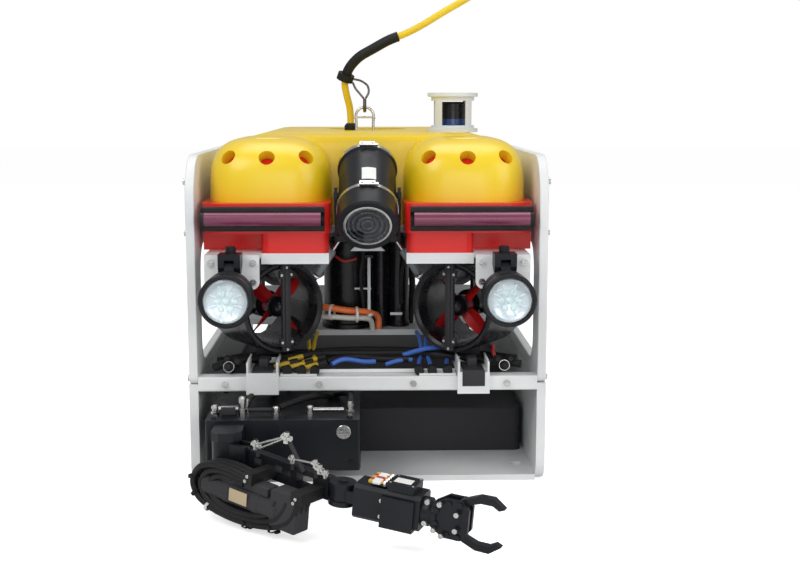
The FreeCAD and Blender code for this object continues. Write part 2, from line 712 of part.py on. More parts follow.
# ---------------------------------------------------------------- lamps
def lamp_clamps():
    """Black clamp blocks on the lamp plates: two ears and a pin for each lamp's lug."""
    made = []
    for side, tag in ((-1, "left"), (1, "right")):
        middle = S.lamp_x if side > 0 else -S.lamp_x
        slot = S.lug_wide / 2 + S.side_gap
        half = slot + S.ear_thick
        body = new_body("clamp_" + tag)
        top = S.lamp_pivot_z + S.ear_radius + S.ear_thick
        pad(body, outline(sketch(body, body.Name + "_side", "YZ_Plane", middle - half), [
            (-S.lamp_plate_front, top), (-S.lamp_pivot_y - S.ear_radius, top),
            (-S.lamp_pivot_y - S.ear_radius, S.lamp_pivot_z),
            (-S.lamp_pivot_y - S.ear_radius / 2, S.lamp_pivot_z - S.ear_radius),
            (-S.lamp_pivot_y + S.ear_radius / 2, S.lamp_pivot_z - S.ear_radius),
            (-S.lamp_plate_front, S.lamp_pivot_z)]), half * 2)
        slot_cut(body, middle, slot)
        pin = rod("clamp_pin_" + tag, (middle - half, -S.lamp_pivot_y, S.lamp_pivot_z), "x", S.pin_radius, half * 2)
        neck = rod("clamp_neck_" + tag, (middle, -S.lamp_plate_front - S.ear_thick, top), "z", S.ear_radius * 0.8,
                   S.ear_thick)
        made.append(fuse("clamp_set_" + tag, body, pin, neck))
    return node(group("clamp_pair", *made), "lamp_clamps")


def slot_cut(body, middle, slot):
    """The gap between the ears, open in front and below."""
    return pocket(body, outline(sketch(body, body.Name + "_gap", "XZ_Plane", S.lamp_pivot_y + S.ear_radius * 2), [
        (middle - slot, S.lamp_pivot_z + S.ear_radius + 1), (middle + slot, S.lamp_pivot_z + S.ear_radius + 1),
        (middle + slot, S.lamp_pivot_z - S.ear_radius * 2), (middle - slot, S.lamp_pivot_z - S.ear_radius * 2)]),
        S.lamp_pivot_y - S.lamp_plate_front + S.ear_radius * 2 - S.ear_thick / 2)


def lamp(side, tag):
    """Lamp housing with its lug, and the lens in its mouth."""
    middle = S.lamp_x if side > 0 else -S.lamp_x
    seat_steps = (place(middle, -S.lamp_pivot_y, S.lamp_pivot_z, 0, 0, S.lamp_tilt),
                  place(0, -S.lamp_offset, -S.lamp_drop, 0, 0, 90))
    r, wall = S.lamp_radius, S.lamp_wall
    shell = lathe("lamp_shell_" + tag, [
        (0, 0), (r - wall * 2, 0), (r - wall / 2, wall), (r - wall / 2, S.lamp_long - wall * 3),
        (r, S.lamp_long - wall * 2.5), (r, S.lamp_long - wall / 3), (r - wall / 3, S.lamp_long),
        (r - wall, S.lamp_long), (r - wall * 1.5, S.lamp_long - wall * 1.5), (0, S.lamp_long - wall * 1.5)],
        *seat_steps)
    lug_body = new_body("lamp_lug_" + tag)
    pad(lug_body, outline(sketch(lug_body, lug_body.Name + "_side", "YZ_Plane", -S.lug_wide / 2), [
        (S.ear_radius * 0.4, -S.ear_radius * 0.7), (S.ear_radius * 0.7, 0), (S.ear_radius * 0.4, S.ear_radius * 0.7),
        (-S.ear_radius * 0.4, S.ear_radius * 0.7), (-S.lamp_offset - 2, -S.lamp_drop * 0.15),
        (-S.lamp_offset - 2, -S.lamp_drop * 1.3), (-S.lamp_offset + S.ear_radius * 0.6, -S.lamp_drop * 1.1)]),
        S.lug_wide)
    pocket(lug_body, ring(sketch(lug_body, lug_body.Name + "_bore", "YZ_Plane"), 0, 0, S.pin_radius + S.pin_gap),
           S.lug_wide * 2, middle=True)
    seat(lug_body, seat_steps[0])
    node(fuse("lamp_housing_set_" + tag, shell, lug_body), "lamp_housing_" + tag)
    lens = lathe("lamp_glass_" + tag, [
        (0, S.lamp_long - wall * 1.5), (r - wall * 1.5, S.lamp_long - wall * 1.5), (r - wall, S.lamp_long),
        (r * 0.6, S.lamp_long + wall / 2), (0, S.lamp_long + wall * 0.8)], *seat_steps)
    return node(lens, "lamp_lens_" + tag)


# ---------------------------------------------------------------- thrusters
def duct(name, half, *steps):
    """Nozzle ring with a flared mouth and rounded lips, about its own Z axis."""
    lip = (S.duct_radius - S.duct_mouth) / 2
    body = new_body(name)
    pad_profile = outline(sketch(body, name + "_profile", "XZ_Plane"), [
        (S.duct_throat, half - S.duct_flare), (S.duct_mouth - lip, half - lip), (S.duct_mouth + lip * 0.3, half),
        (S.duct_radius - lip * 0.5, half), (S.duct_radius, half - lip), (S.duct_radius, -half + lip * 0.5),
        (S.duct_radius - lip * 0.5, -half), (S.duct_throat + lip, -half), (S.duct_throat, -half + lip)])
    turn(body, pad_profile)
    seat(body, *steps)
    return body


def motor(name, *steps):
    """Motor pod with its shaft stub and three stator arms that meet the duct's throat."""
    pod = lathe(name + "_pod", [
        (0, -S.motor_back), (S.motor_radius * 0.45, -S.motor_back), (S.motor_radius, -S.motor_back + S.motor_radius / 2),
        (S.motor_radius, S.motor_front - 4), (S.motor_radius - 3, S.motor_front), (0, S.motor_front)], *steps)
    shaft = doc.addObject("Part::Cylinder", name + "_shaft")
    bind(shaft, Radius=S.shaft_radius, Height=S.hub_front - S.motor_front - 2)
    seat(shaft, *steps, place(0, 0, S.motor_front))
    arms = []
    for index in range(3):
        arm = doc.addObject("Part::Box", f"{name}_arm{index}")
        bind(arm, Length=S.duct_radius, Width=S.strut_thick, Height=S.motor_radius * 1.2)
        seat(arm, *steps, place(0, 0, 0, 120 * index + 90, 0, 0), place(0, -S.strut_thick / 2, -S.motor_radius * 1.6))
        arms.append(arm)
    limit = doc.addObject("Part::Cylinder", name + "_limit")
    bind(limit, Radius=S.duct_throat, Height=S.duct_half * 2)
    seat(limit, *steps, place(0, 0, -S.duct_half))
    stator = common(name + "_stator", fuse(name + "_arms", *arms), limit)
    return fuse(name, pod, shaft, stator)


def propeller(name, label, *steps):
    """Hub, nose cone and four lofted blades, bored for the motor shaft."""
    hub = lathe(name + "_hub", [
        (S.shaft_radius + S.shaft_gap, S.hub_back), (S.hub_radius, S.hub_back), (S.hub_radius, S.hub_front),
        (S.hub_radius * 0.72, S.hub_front + S.cone_long * 0.5), (S.hub_radius * 0.3, S.hub_front + S.cone_long * 0.92),
        (0, S.hub_front + S.cone_long), (0, S.hub_front), (S.shaft_radius + S.shaft_gap, S.hub_front)], *steps)
    blades = []
    middle = (S.hub_back + S.hub_front) / 2
    for index in range(4):
        body = new_body(f"{name}_blade{index}")
        sections = []
        for tag, reach, wide, pitch in (
                ("root", S.hub_radius * 0.8, S.blade_wide * 0.72, S.blade_pitch + 14),
                ("mid", (S.hub_radius + S.blade_tip) / 2, S.blade_wide, S.blade_pitch),
                ("tip", S.blade_tip, S.blade_wide * 0.8, S.blade_pitch - 12)):
            made = sketch(body, f"{body.Name}_{tag}", "XY_Plane", reach, pitch)
            thick = S.blade_thick if tag == "root" else S.blade_thick * 0.6
            outline(made, [(-wide / 2, 0), (0, -thick / 2), (wide / 2, 0), (0, thick / 2)])
            sections.append(made)
        loft = body.newObject("PartDesign::AdditiveLoft", body.Name + "_loft")
        loft.Profile = sections[0]
        loft.Sections = sections[1:]
        seat(body, *steps, place(0, 0, middle, 90 * index + 45, 90, 0))
        blades.append(body)
    doc.recompute()
    return node(fuse(name, hub, *blades), label)


def thrusters():
    """Four vectored thrusters and the vertical one, with the saddles that hold them."""
    motors = []
    ducts = {"front": [], "rear": []}
    saddles = []
    centre_z = S.duct_z
    for end, sy in (("front", -1), ("rear", 1)):
        for side, tag in ((-1, "left"), (1, "right")):
            x = S.duct_x if side > 0 else -S.duct_x
            y = S.duct_y if sy > 0 else -S.duct_y
            toe = -S.duct_yaw if side > 0 else S.duct_yaw
            yaw = toe if sy < 0 else 180 - toe
            steps = (place(x, y, centre_z, yaw, 0, 90),)
            name = f"thruster_{end}_{tag}"
            ducts[end].append(duct(name + "_duct", S.duct_half, *steps))
            motors.append(motor(name + "_motor", *steps))
            propeller(name + "_prop", f"propeller_{end}_{tag}", *steps)
            drum = doc.addObject("Part::Cylinder", name + "_drum")
            bind(drum, Radius=S.duct_radius, Height=S.duct_half * 2)
            seat(drum, *steps, place(0, 0, -S.duct_half))
            upper_y = S.tray_front - S.saddle_deep / 2
            if sy > 0:
                upper_y = S.duct_y
            upper_y = upper_y if sy > 0 else -upper_y
            half = S.saddle_wide / 2
            upper = block(name + "_saddle_top", (x - half, upper_y - S.saddle_deep / 2, centre_z),
                          (x + half, upper_y + S.saddle_deep / 2, S.tray_low))
            lower_y = S.duct_y + S.saddle_deep / 2
            lower_y = lower_y if sy > 0 else -lower_y
            lower = block(name + "_saddle_low",
                          (x - half, lower_y - S.saddle_deep / 2, S.beam_low + S.beam_tall + S.lamp_plate_thick),
                          (x + half, lower_y + S.saddle_deep / 2, centre_z))
            shells = cut(name + "_saddle", group(name + "_saddle_pair", upper, lower), drum)
            saddles.append(shells)
    node(group("ducts_front_pair", *ducts["front"]), "ducts_front")
    node(group("ducts_rear_pair", *ducts["rear"]), "ducts_rear")
    lift_steps = (place(0, S.well_y, S.tray_low + S.tray_thick + S.vertical_half),)
    tall = duct("thruster_vertical_duct", S.vertical_half, *lift_steps)
    node(tall, "duct_vertical")
    motors.append(motor("thruster_vertical_motor", *lift_steps))
    propeller("thruster_vertical_prop", "propeller_vertical", *lift_steps)
    node(group("motor_set", *motors), "thruster_motors")
    return node(group("saddle_set", *saddles), "thruster_saddles")


def rails():
    """White channel rails on the crossbeams that carry the lower thruster saddles."""
    made = []
    top = S.beam_low + S.beam_tall
    for side, tag in ((-1, "left"), (1, "right")):
        x = S.duct_x if side > 0 else -S.duct_x
        half = S.saddle_wide * 0.75
        body = new_body("rail_" + tag)
        pad(body, outline(sketch(body, body.Name + "_section", "XZ_Plane", S.half_length + S.lamp_plate_thick), [
            (x - half, top), (x + half, top), (x + half, top + S.lamp_plate_thick),
            (x - half, top + S.lamp_plate_thick)]), (S.half_length + S.lamp_plate_thick) * 2, reverse=True)
        for end, y in (("front", S.half_length), ("rear", -S.half_length - S.lamp_plate_thick)):
            pad(body, outline(sketch(body, f"{body.Name}_{end}", "XZ_Plane", y), [
                (x - half, S.beam_low - 4), (x + half, S.beam_low - 4), (x + half, top + S.lamp_plate_thick),
                (x - half, top + S.lamp_plate_thick)]), S.lamp_plate_thick)
        made.append(body)
    return node(group("rail_pair", *made), "thruster_rails")


# ---------------------------------------------------------------- centre bay
def pods():
    """Black electronics pods standing between the deck and the tray, with flanged ends."""
    low = S.deck_low + S.deck_thick
    tall = S.tray_low - low
    made = []
    for tag, x, radius in (("main", -S.pod_x, S.pod_radius), ("column", S.column_x, S.column_radius),
                           ("side", S.side_pod_x, S.side_pod_radius)):
        rim = S.flange_extra if tag == "main" else S.flange_extra / 4
        made.append(lathe("pod_" + tag, [
            (0, 0), (radius + rim, 0), (radius + rim, S.flange_thick), (radius, S.flange_thick + 2),
            (radius, tall - S.flange_thick * 3), (radius + rim, tall - S.flange_thick * 3 + 2),
            (radius + rim, tall - S.flange_thick * 2), (radius * 0.8, tall - S.flange_thick * 2),
            (radius * 0.8, tall), (0, tall)], place(x, -S.pod_y, low)))
    return node(group("pod_set", *made), "electronics_pods")


# ---------------------------------------------------------------- camera
def camera_bracket():
    """White base plate under the tray, a web and two cheeks bored for the camera's trunnions."""
    reach = S.camera_radius + S.cheek_gap
    half = reach + S.cheek_thick
    base = block("cradle_base", (-half, -S.camera_y + S.cheek_wide / 2, S.cradle_low - S.tray_thick),
                 (half, -S.tray_front + S.saddle_deep, S.cradle_low))
    cheeks = []
    for side, tag in ((-1, "left"), (1, "right")):
        start = reach if side > 0 else -half
        body = new_body("cheek_" + tag)
        pad(body, outline(sketch(body, body.Name + "_side", "YZ_Plane", start), [
            (-S.camera_y - S.cheek_wide / 2, S.camera_z - 4), (-S.camera_y + S.cheek_wide / 2, S.cradle_low - 10),
            (-S.tray_front - 1, S.cradle_low - 10), (-S.tray_front - 1, S.cradle_low + 12),
            (-S.camera_y + S.cheek_wide / 2, S.camera_z + 4), (-S.camera_y + 4, S.camera_z + S.cheek_wide / 2),
            (-S.camera_y - 4, S.camera_z + S.cheek_wide / 2)]), S.cheek_thick)
        pocket(body, ring(sketch(body, body.Name + "_bore", "YZ_Plane", start), -S.camera_y, S.camera_z,
                          S.trunnion_radius + S.pin_gap), S.cheek_thick * 2, middle=True)
        cheeks.append(body)
    struts = []
    for side, tag in ((-1, "left"), (1, "right")):
        bar = doc.addObject("Part::Box", "strut_" + tag)
        bind(bar, Length=S.cheek_wide / 2, Width=S.cheek_wide * 0.6, Height=S.pod_radius * 2.5)
        seat(bar, place(-S.pod_x if side < 0 else S.pod_x, -S.tray_front - S.cheek_wide * 0.55, S.cradle_low,
                        0, 180 - S.strut_lean * side, 0), place(-S.cheek_wide / 4, -S.cheek_wide * 0.3, 0))
        drum = doc.addObject("Part::Cylinder", "strut_drum_" + tag)
        bind(drum, Radius=S.duct_radius, Height=S.duct_half * 2)
        seat(drum, place(S.duct_x if side > 0 else -S.duct_x, -S.duct_y, S.duct_z,
                         -S.duct_yaw if side > 0 else S.duct_yaw, 0, 90), place(0, 0, -S.duct_half))
        lid = block("strut_lid_" + tag, (-S.half_width, -S.half_length, S.cradle_low - S.tray_thick),
                    (S.half_width, 0, S.float_top))
        struts.append(cut("strut_cut_" + tag, bar, drum, lid))
    node(fuse("cradle", base, *cheeks), "camera_bracket")
    return node(group("strut_pair", *struts), "struts")


def camera():
    """Pressure housing with trunnions, a glass port and two steel bands with buckles."""
    steps = (place(0, -S.camera_y, S.camera_z, 0, 0, S.camera_tilt), place(0, 0, 0, 0, 0, 90))
    r, half = S.camera_radius, S.camera_half
    shell = lathe("camera_shell", [
        (0, -half), (r * 0.86, -half), (r, -half + 7), (r, -half + 14), (r - 2, -half + 16),
        (r - 2, half * 0.34), (r, half * 0.34 + 2), (r, half - 3), (r - 3, half), (S.camera_bore, half),
        (S.camera_bore - 2, half - S.camera_ring), (0, half - S.camera_ring)], *steps)
    trunnion = doc.addObject("Part::Cylinder", "camera_trunnion")
    bind(trunnion, Radius=S.trunnion_radius, Height=(r + S.cheek_gap + S.cheek_thick + 1) * 2)
    seat(trunnion, *steps, place(0, 0, 0, 0, 90, 0), place(0, 0, -r - S.cheek_gap - S.cheek_thick - 1))
    node(fuse("camera_set", shell, trunnion), "camera_body")
    node(lathe("camera_port", [
        (0, half - S.camera_ring), (S.camera_bore - 2, half - S.camera_ring), (S.camera_bore - 0.6, half - 2),
        (S.camera_bore * 0.7, half - 1), (S.camera_bore * 0.62, half - 3.5), (S.camera_bore * 0.3, half - 2),
        (0, half - 1.2)], *steps), "camera_lens")
    bands = []
    for tag, spot in (("front", half * 0.34 + 8), ("rear", -half * 0.42)):
        inner = r if tag == "front" else r - 2
        strap = lathe("band_" + tag, [
            (inner, spot), (inner + S.band_thick, spot), (inner + S.band_thick, spot + S.band_wide),
            (inner, spot + S.band_wide)], *steps)
        buckle = doc.addObject("Part::Box", "buckle_" + tag)
        bind(buckle, Length=S.band_wide * 1.6, Width=S.band_thick * 3, Height=S.band_wide)
        seat(buckle, *steps, place(-S.band_wide * 0.8, inner + S.band_thick * 0.4, spot))
        bands.append(fuse("band_set_" + tag, strap, buckle))
    return node(group("band_pair", *bands), "camera_bands")


# ---------------------------------------------------------------- sonar
def sonar():
    """White sonar cage with four windows, and the black scanning head inside it."""
    spot = place(S.sonar_x, -S.sonar_y, S.float_top)
    body = lathe("cage", [
        (0, 0), (S.cage_radius, 0), (S.cage_radius, S.cage_lip), (S.cage_body, S.cage_lip + 1),
        (S.cage_body, S.cage_tall - S.cage_lip - 1), (S.cage_radius, S.cage_tall - S.cage_lip),
        (S.cage_radius, S.cage_tall), (0, S.cage_tall), (0, S.cage_tall - S.cage_lip),
        (S.cage_body - 6, S.cage_tall - S.cage_lip), (S.cage_body - 6, S.cage_lip), (0, S.cage_lip)], spot)
    for role in ("XZ_Plane", "YZ_Plane"):
        pocket(body, outline(sketch(body, "cage_window_" + role[:2], role), [
            (-S.cage_window, S.cage_lip * 1.4), (S.cage_window, S.cage_lip * 1.4),
            (S.cage_window, S.cage_tall - S.cage_lip * 1.4), (-S.cage_window, S.cage_tall - S.cage_lip * 1.4)]),
            S.cage_radius * 4, middle=True)
    node(body, "sonar_cage")
    r = S.head_radius
    top = S.cage_tall - S.cage_lip * 2.4
    return node(lathe("head", [
        (0, S.cage_lip), (r * 0.8, S.cage_lip), (r * 0.8, S.cage_lip * 2), (r, S.cage_lip * 2.2),
        (r, top - 4), (r - 4, top), (0, top)], spot), "sonar_head")


# ---------------------------------------------------------------- lifting and tether
def above_float(points):
    """Lift route points, given above the float's top, to their level."""
    return [(x, y, z + SIZES["float_top"]) for x, y, z in points]


TETHER = above_float([(-34, 36, 14), (-34, 36, 42), (-42, 30, 70), (-47, 22, 98), (-37, 14, 126), (-16, 8, 148),
                      (12, 5, 163), (44, 3, 181), (79, 2, 193), (117, 1, 213), (154, 0, 236), (192, -1, 257),
                      (227, -1, 278)])
STROPS = [above_float([(-7, 0, 64.2), (-16, 5, 75), (-24, 9, 84), (-29, 13, 96)]),
          above_float([(-3, 0, 64.2), (4, 3, 76), (2, 8, 90), (-12, 12, 100), (-27, 13, 103)])]


def lifting():
    """Steel lift bail standing in the float on the tray, and the ring that hangs in it."""
    low = S.tray_low + S.tray_thick
    arch_z = S.bail_top - S.bail_half
    legs = [rod(f"bail_leg{index}", (x, 0, low), "z", S.bail_radius, arch_z - low)
            for index, x in enumerate((S.bail_x - S.bail_half, S.bail_x + S.bail_half))]
    arch = doc.addObject("Part::Torus", "bail_arch")
    bind(arch, Radius1=S.bail_half, Radius2=S.bail_radius)
    arch.Angle3 = 180
    seat(arch, place(S.bail_x, 0, arch_z, 0, 0, 90))
    bar = rod("bail_bar", (S.bail_x - S.bail_half, 0, arch_z - 4), "x", S.bail_radius * 0.6, S.bail_half * 2)
    node(fuse("bail", *legs, arch, bar), "lift_bail")
    eye = doc.addObject("Part::Torus", "eye")
    bind(eye, Radius1=S.ring_radius, Radius2=S.ring_wire)
    seat(eye, place(S.bail_x, 0, S.bail_top - S.bail_radius + S.ring_radius - S.ring_wire - 0.1, 0, 90, 0))
    return eye


def tether(eye):
    """Yellow tether from its gland through a black sleeve to its end fitting, with a wire strop."""
    gland = lathe("gland", [
        (0, 0), (S.gland_radius, 0), (S.gland_radius, S.gland_tall * 0.6), (S.gland_radius * 0.7, S.gland_tall),
        (0, S.gland_tall)], place(TETHER[0][0], TETHER[0][1], S.float_top))
    node(gland, "tether_gland")
    radius = SIZES["tether_radius"]
    node(hose("tether_line", TETHER, radius, report=True), "tether")
    wire, radii = route_wire(TETHER, 7, 15)
    outer = cord_solid(wire, SIZES["sleeve_radius"], radius + 0.3)
    first = wire.Edges[0]
    start = first.valueAt(first.FirstParameter)
    heading = first.tangentAt(first.FirstParameter)
    collar = Part.makeCylinder(SIZES["sleeve_radius"] * 1.7, 14, start - heading * 14, heading)
    collar = collar.cut(Part.makeCylinder(radius + 1.4, 40, start - heading * 20, heading))
    sleeve = doc.addObject("Part::Feature", "sleeve_line")
    sleeve.Shape = outer.fuse(collar)
    node(sleeve, "tether_sleeve")
    whole, _ = route_wire(TETHER)
    last = whole.Edges[-1]
    end = last.valueAt(last.LastParameter)
    ahead = last.tangentAt(last.LastParameter)
    fitting = doc.addObject("Part::Feature", "fitting_line")
    fitting.Shape = Part.makeCylinder(SIZES["tether_radius"] + 5, 22, end, ahead).fuse(
        Part.makeCylinder(SIZES["tether_radius"] + 2, 10, end + ahead * 22, ahead))
    node(fitting, "tether_fitting")
    wires = [hose(f"strop{index}", points, SIZES["strop_radius"]) for index, points in enumerate(STROPS)]
    return node(group("strop_set", eye, *wires), "wire_strop")


# ---------------------------------------------------------------- harness
def harness():
    """Connectors on the front beam, their leads to the deck, and the orange hose."""
    plugs = []
    leads = {"yellow": [], "blue": []}
    top = S.beam_low + S.beam_tall
    bore = 8
    rail = SIZES["duct_x"]
    for index, x in enumerate((41 - rail, 65 - rail, 87 - rail, rail - 91, rail - 69, rail - 43)):
        plug = lathe(f"plug{index}", [
            (0, 0), (bore, 0), (bore, 18), (bore * 0.75, 20), (bore * 0.75, 30), (bore * 0.5, 36), (0, 36)],
            place(x, -S.half_length + 4, top + bore, 0, 0, -90))
        plugs.append(plug)
        z = top.value + bore
        y = -SIZES["half_length"] + 40
        deck = SIZES["deck_low"] + 5
        lean = 9 if index % 2 else -7
        points = [(x, y, z), (x + lean * 0.3, y + 34, z + 3), (x + lean, y + 66, z + 14),
                  (x + lean * 0.6, y + 98, deck - 4), (x + lean * 0.2, -SIZES["deck_front"], deck)]
        leads["yellow" if x < 0 else "blue"].append(hose(f"lead{index}", points, 3.5))
    node(group("plug_set", *plugs), "connectors")
    node(group("yellow_set", *leads["yellow"]), "leads_yellow")
    node(group("blue_set", *leads["blue"]), "leads_blue")
    deck_top = SIZES["deck_low"] + SIZES["deck_thick"]
    edge = -SIZES["deck_front"]
    reach = SIZES["hose_reach"]
    return node(hose("orange_line", [
        (-reach, edge + 9, deck_top), (-reach, edge + 9, deck_top + 24), (-reach * 0.852, edge - 8, deck_top + 44),
        (-reach * 0.574, edge - 20, deck_top + 44), (-reach * 0.279, edge - 22, deck_top + 38),
        (-reach * 0.016, edge - 18, deck_top + 36), (reach * 0.156, edge + 9, deck_top + 24),
        (reach * 0.156, edge + 9, deck_top)], 6), "hose_orange")


# ---------------------------------------------------------------- manipulator
def slew_frame():
    return place(-S.slew_x, -S.slew_y, S.slew_z, -S.upper_yaw, 0, 0)


def lift_frame():
    return slew_frame() + " * " + place(S.lift_out, 0, 0, 0, S.upper_pitch, 0)


def elbow_frame():
    return lift_frame() + " * " + place(S.upper_long, 0, 0, S.elbow_turn, 0, 0)


def wrist_frame():
    return elbow_frame() + " * " + place(S.fore_long, 0, 0)


def local_box(name, low, high, frame):
    """A box given in a joint's frame."""
    made = doc.addObject("Part::Box", name)
    steps = [as_size(b) - as_size(a) for a, b in zip(low, high)]
    bind(made, Length=steps[0], Width=steps[1], Height=steps[2])
    return seat(made, frame, place(*low))


def local_rod(name, start, axis, radius, length, frame):
    """A cylinder given in a joint's frame."""
    made = doc.addObject("Part::Cylinder", name)
    bind(made, Radius=radius, Height=length)
    return seat(made, frame, place(*start, *AXES[axis]))


def arm_base():
    """Black manipulator base bolted on the skid base, with two ears for the slew pin."""
    body = new_body("base_block")
    pad(body, outline(sketch(body, "base_block_side", "YZ_Plane", -S.base_left), [
        (-S.base_front, S.base_low), (-S.base_foot, S.base_low), (-S.base_foot, S.skid_base_thick),
        (-S.base_back, S.skid_base_thick), (-S.base_back, S.base_top), (-S.base_front, S.base_top)]),
        S.base_left - S.base_right)
    soften(body, S.slew_ear / 3, lambda p, d: along(d, "z") and near(p.y, -S.base_front))
    half = S.slew_ear + S.yoke_radius - 2
    for tag, low, high in (("top", S.yoke_radius - 2 + S.yoke_gap, half + S.yoke_gap),
                           ("low", -half - S.yoke_gap, -(S.yoke_radius - 2) - S.yoke_gap)):
        level = S.slew_z + low
        pad(body, outline(sketch(body, "ear_" + tag, "XY_Plane", level), [
            (-S.slew_x - S.yoke_radius, -S.base_front), (-S.slew_x - S.yoke_radius, -S.slew_y - S.yoke_radius / 2),
            (-S.slew_x - S.yoke_radius / 2, -S.slew_y - S.yoke_radius),
            (-S.slew_x + S.yoke_radius / 2, -S.slew_y - S.yoke_radius),
            (-S.slew_x + S.yoke_radius, -S.slew_y - S.yoke_radius / 2),
            (-S.slew_x + S.yoke_radius, -S.base_front)]), high - low)
        pocket(body, ring(sketch(body, "ear_bore_" + tag, "XY_Plane", level), -S.slew_x, -S.slew_y,
                          S.slew_radius + S.pin_gap), high - low, reverse=True)
    return node(body, "arm_base")


def arm_yoke():
    """Slewing yoke: a turned hub on its pin, with two cheeks and the lift pin."""
    frame = slew_frame()
    tall = S.yoke_radius - 2
    hub = local_rod("yoke_hub", (0, 0, -tall), "z", S.yoke_radius, tall * 2, frame)
    stub = tall + S.yoke_gap + S.slew_ear
    pin = local_rod("yoke_pin", (0, 0, -stub), "z", S.slew_radius, stub * 2, frame)
    slot = S.upper_wide / 2 + S.side_gap
    head = local_box("yoke_head", (0, -slot - S.slew_ear / 2, -tall + 2),
                     (S.lift_out + S.lift_radius * 2, slot + S.slew_ear / 2, tall - 2), frame)
    gap = local_box("yoke_slot", (S.lift_out - S.upper_tall / 2 - 1, -slot, -tall * 2),
                    (S.lift_out * 2, slot, tall * 2), frame)
    shell = cut("yoke_shell", fuse("yoke_solid", hub, pin, head), gap)
    lift_pin = local_rod("yoke_lift_pin", (S.lift_out, -slot - S.slew_ear / 2 - 3, 0), "y", S.lift_radius,
                         slot * 2 + S.slew_ear + 6, frame)
    return node(fuse("yoke_set", shell, lift_pin), "arm_yoke")


def upper_arm():
    """Upper arm: a lightened bar with a bored root and a forked elbow with its pin."""
    frame = lift_frame()
    half = S.upper_tall / 2
    tongue = S.elbow_radius / 2
    body = new_body("upper_bar")
    pad(body, outline(sketch(body, "upper_side", "XZ_Plane", -S.upper_wide / 2), [
        (-half * 0.7, half * 0.7), (-half, 0), (-half * 0.7, -half * 0.7), (0, -half),
        (S.upper_long, -half), (S.upper_long, half), (0, half)]), S.upper_wide)
    windows = sketch(body, "upper_windows", "XZ_Plane", 0)
    step = (S.upper_long - S.elbow_radius * 2 - half * 1.6) / 3
    for index in range(3):
        start = half * 1.6 + step * index
        outline(windows, [(start, -half * 0.5), (start + step * 0.75, -half * 0.5),
                          (start + step * 0.75, half * 0.5), (start, half * 0.5)])
    pocket(body, windows, S.upper_wide * 2, middle=True)
    pocket(body, ring(sketch(body, "upper_bore", "XZ_Plane", 0), 0, 0, S.lift_radius + S.pin_gap),
           S.upper_wide * 2, middle=True)
    seat(body, frame)
    eye = local_rod("upper_eye", (S.upper_long, 0, -half), "z", S.elbow_radius, S.upper_tall, frame)
    gap = local_box("upper_fork", (S.upper_long - S.elbow_radius - 1, -S.elbow_radius * 1.5, -tongue + 0.7),
                    (S.upper_long + S.elbow_radius * 2, S.elbow_radius * 1.5, tongue - 0.7), frame)
    fork = cut("upper_forked", fuse("upper_solid", body, eye), gap)
    pin = local_rod("upper_pin", (S.upper_long, 0, -half - 2), "z", S.elbow_pin, S.upper_tall + 4, frame)
    return node(fuse("upper_set", fork, pin), "upper_arm")


def arm_tubes():
    """Steel links and their end fittings along the upper arm."""
    frame = lift_frame()
    made = []
    top = S.upper_tall / 2
    for index, (start, stop, side, radius) in enumerate(((24, 120, -7, 3), (46, 150, 3, 2.5))):
        height = top + radius + 4
        bar = local_rod(f"link{index}", (start, side, height), "x", radius, stop - start, frame)
        feet = [local_rod(f"link{index}_foot{spot}", (spot, side, top), "z", 4, height - top + radius + 1, frame)
                for spot in (start, stop)]
        made.append(fuse(f"link_set{index}", bar, *feet))
    return node(group("link_pair", *made), "arm_tubes")


def forearm():
    """Forearm: stepped housing with an elbow tongue, a lid rib and the wrist bearing."""
    frame = elbow_frame()
    tongue = S.elbow_radius / 2 - 1
    body = new_body("forearm_block")
    wide, tall = S.fore_wide / 2, S.fore_tall / 2
    pad(body, outline(sketch(body, "forearm_section", "YZ_Plane", S.elbow_radius + 6), [
        (-wide, -tall + 5), (-wide + 5, -tall), (wide - 5, -tall), (wide, -tall + 5), (wide, tall - 5),
        (wide - 5, tall), (-wide + 5, tall), (-wide, tall - 5)]), S.fore_long - S.elbow_radius - 6)
    pad(body, outline(sketch(body, "forearm_step", "YZ_Plane", S.elbow_radius + 50), [
        (-wide - 4, -tall - 3), (wide + 4, -tall - 3), (wide + 4, tall - 8), (-wide - 4, tall - 8)]),
        S.fore_long - S.elbow_radius - 58)
    pocket(body, ring(sketch(body, "wrist_bore", "YZ_Plane", S.fore_long), 0, 0, S.wrist_shaft + S.pin_gap),
           S.wrist_long)
    seat(body, frame)
    root = local_rod("forearm_eye", (0, 0, -tongue), "z", S.elbow_radius - 2, tongue * 2, frame)
    bar = local_box("forearm_neck", (0, -S.elbow_radius + 6, -tongue), (S.elbow_radius + 8, S.elbow_radius - 6, tongue),
                    frame)
    bore = local_rod("forearm_bore", (0, 0, -tongue * 2), "z", S.elbow_pin + S.pin_gap, tongue * 4, frame)
    return node(cut("forearm_set", fuse("forearm_solid", body, root, bar), bore), "forearm")


def valve_pack():
    """Valve box on the forearm with its row of hose fittings."""
    frame = elbow_frame()
    tall = S.fore_tall / 2 - 8
    base = local_box("valve_box", (S.fore_long - 52, -S.fore_wide / 2 + 3, S.fore_tall / 2),
                     (S.fore_long - 12, S.fore_wide / 2 - 3, S.fore_tall / 2 + 12), frame)
    parts = [base]
    for index in range(5):
        y = -S.fore_wide / 2 + 7 + index * 8
        parts.append(local_rod(f"fitting{index}", (S.fore_long - 78, y, S.fore_tall / 2 + 6), "x", 3, 26, frame))
        parts.append(local_rod(f"fitting_nut{index}", (S.fore_long - 62, y, S.fore_tall / 2 + 6), "x", 3.7, 6, frame))
    return node(fuse("valve_set", *parts), "valve_pack")


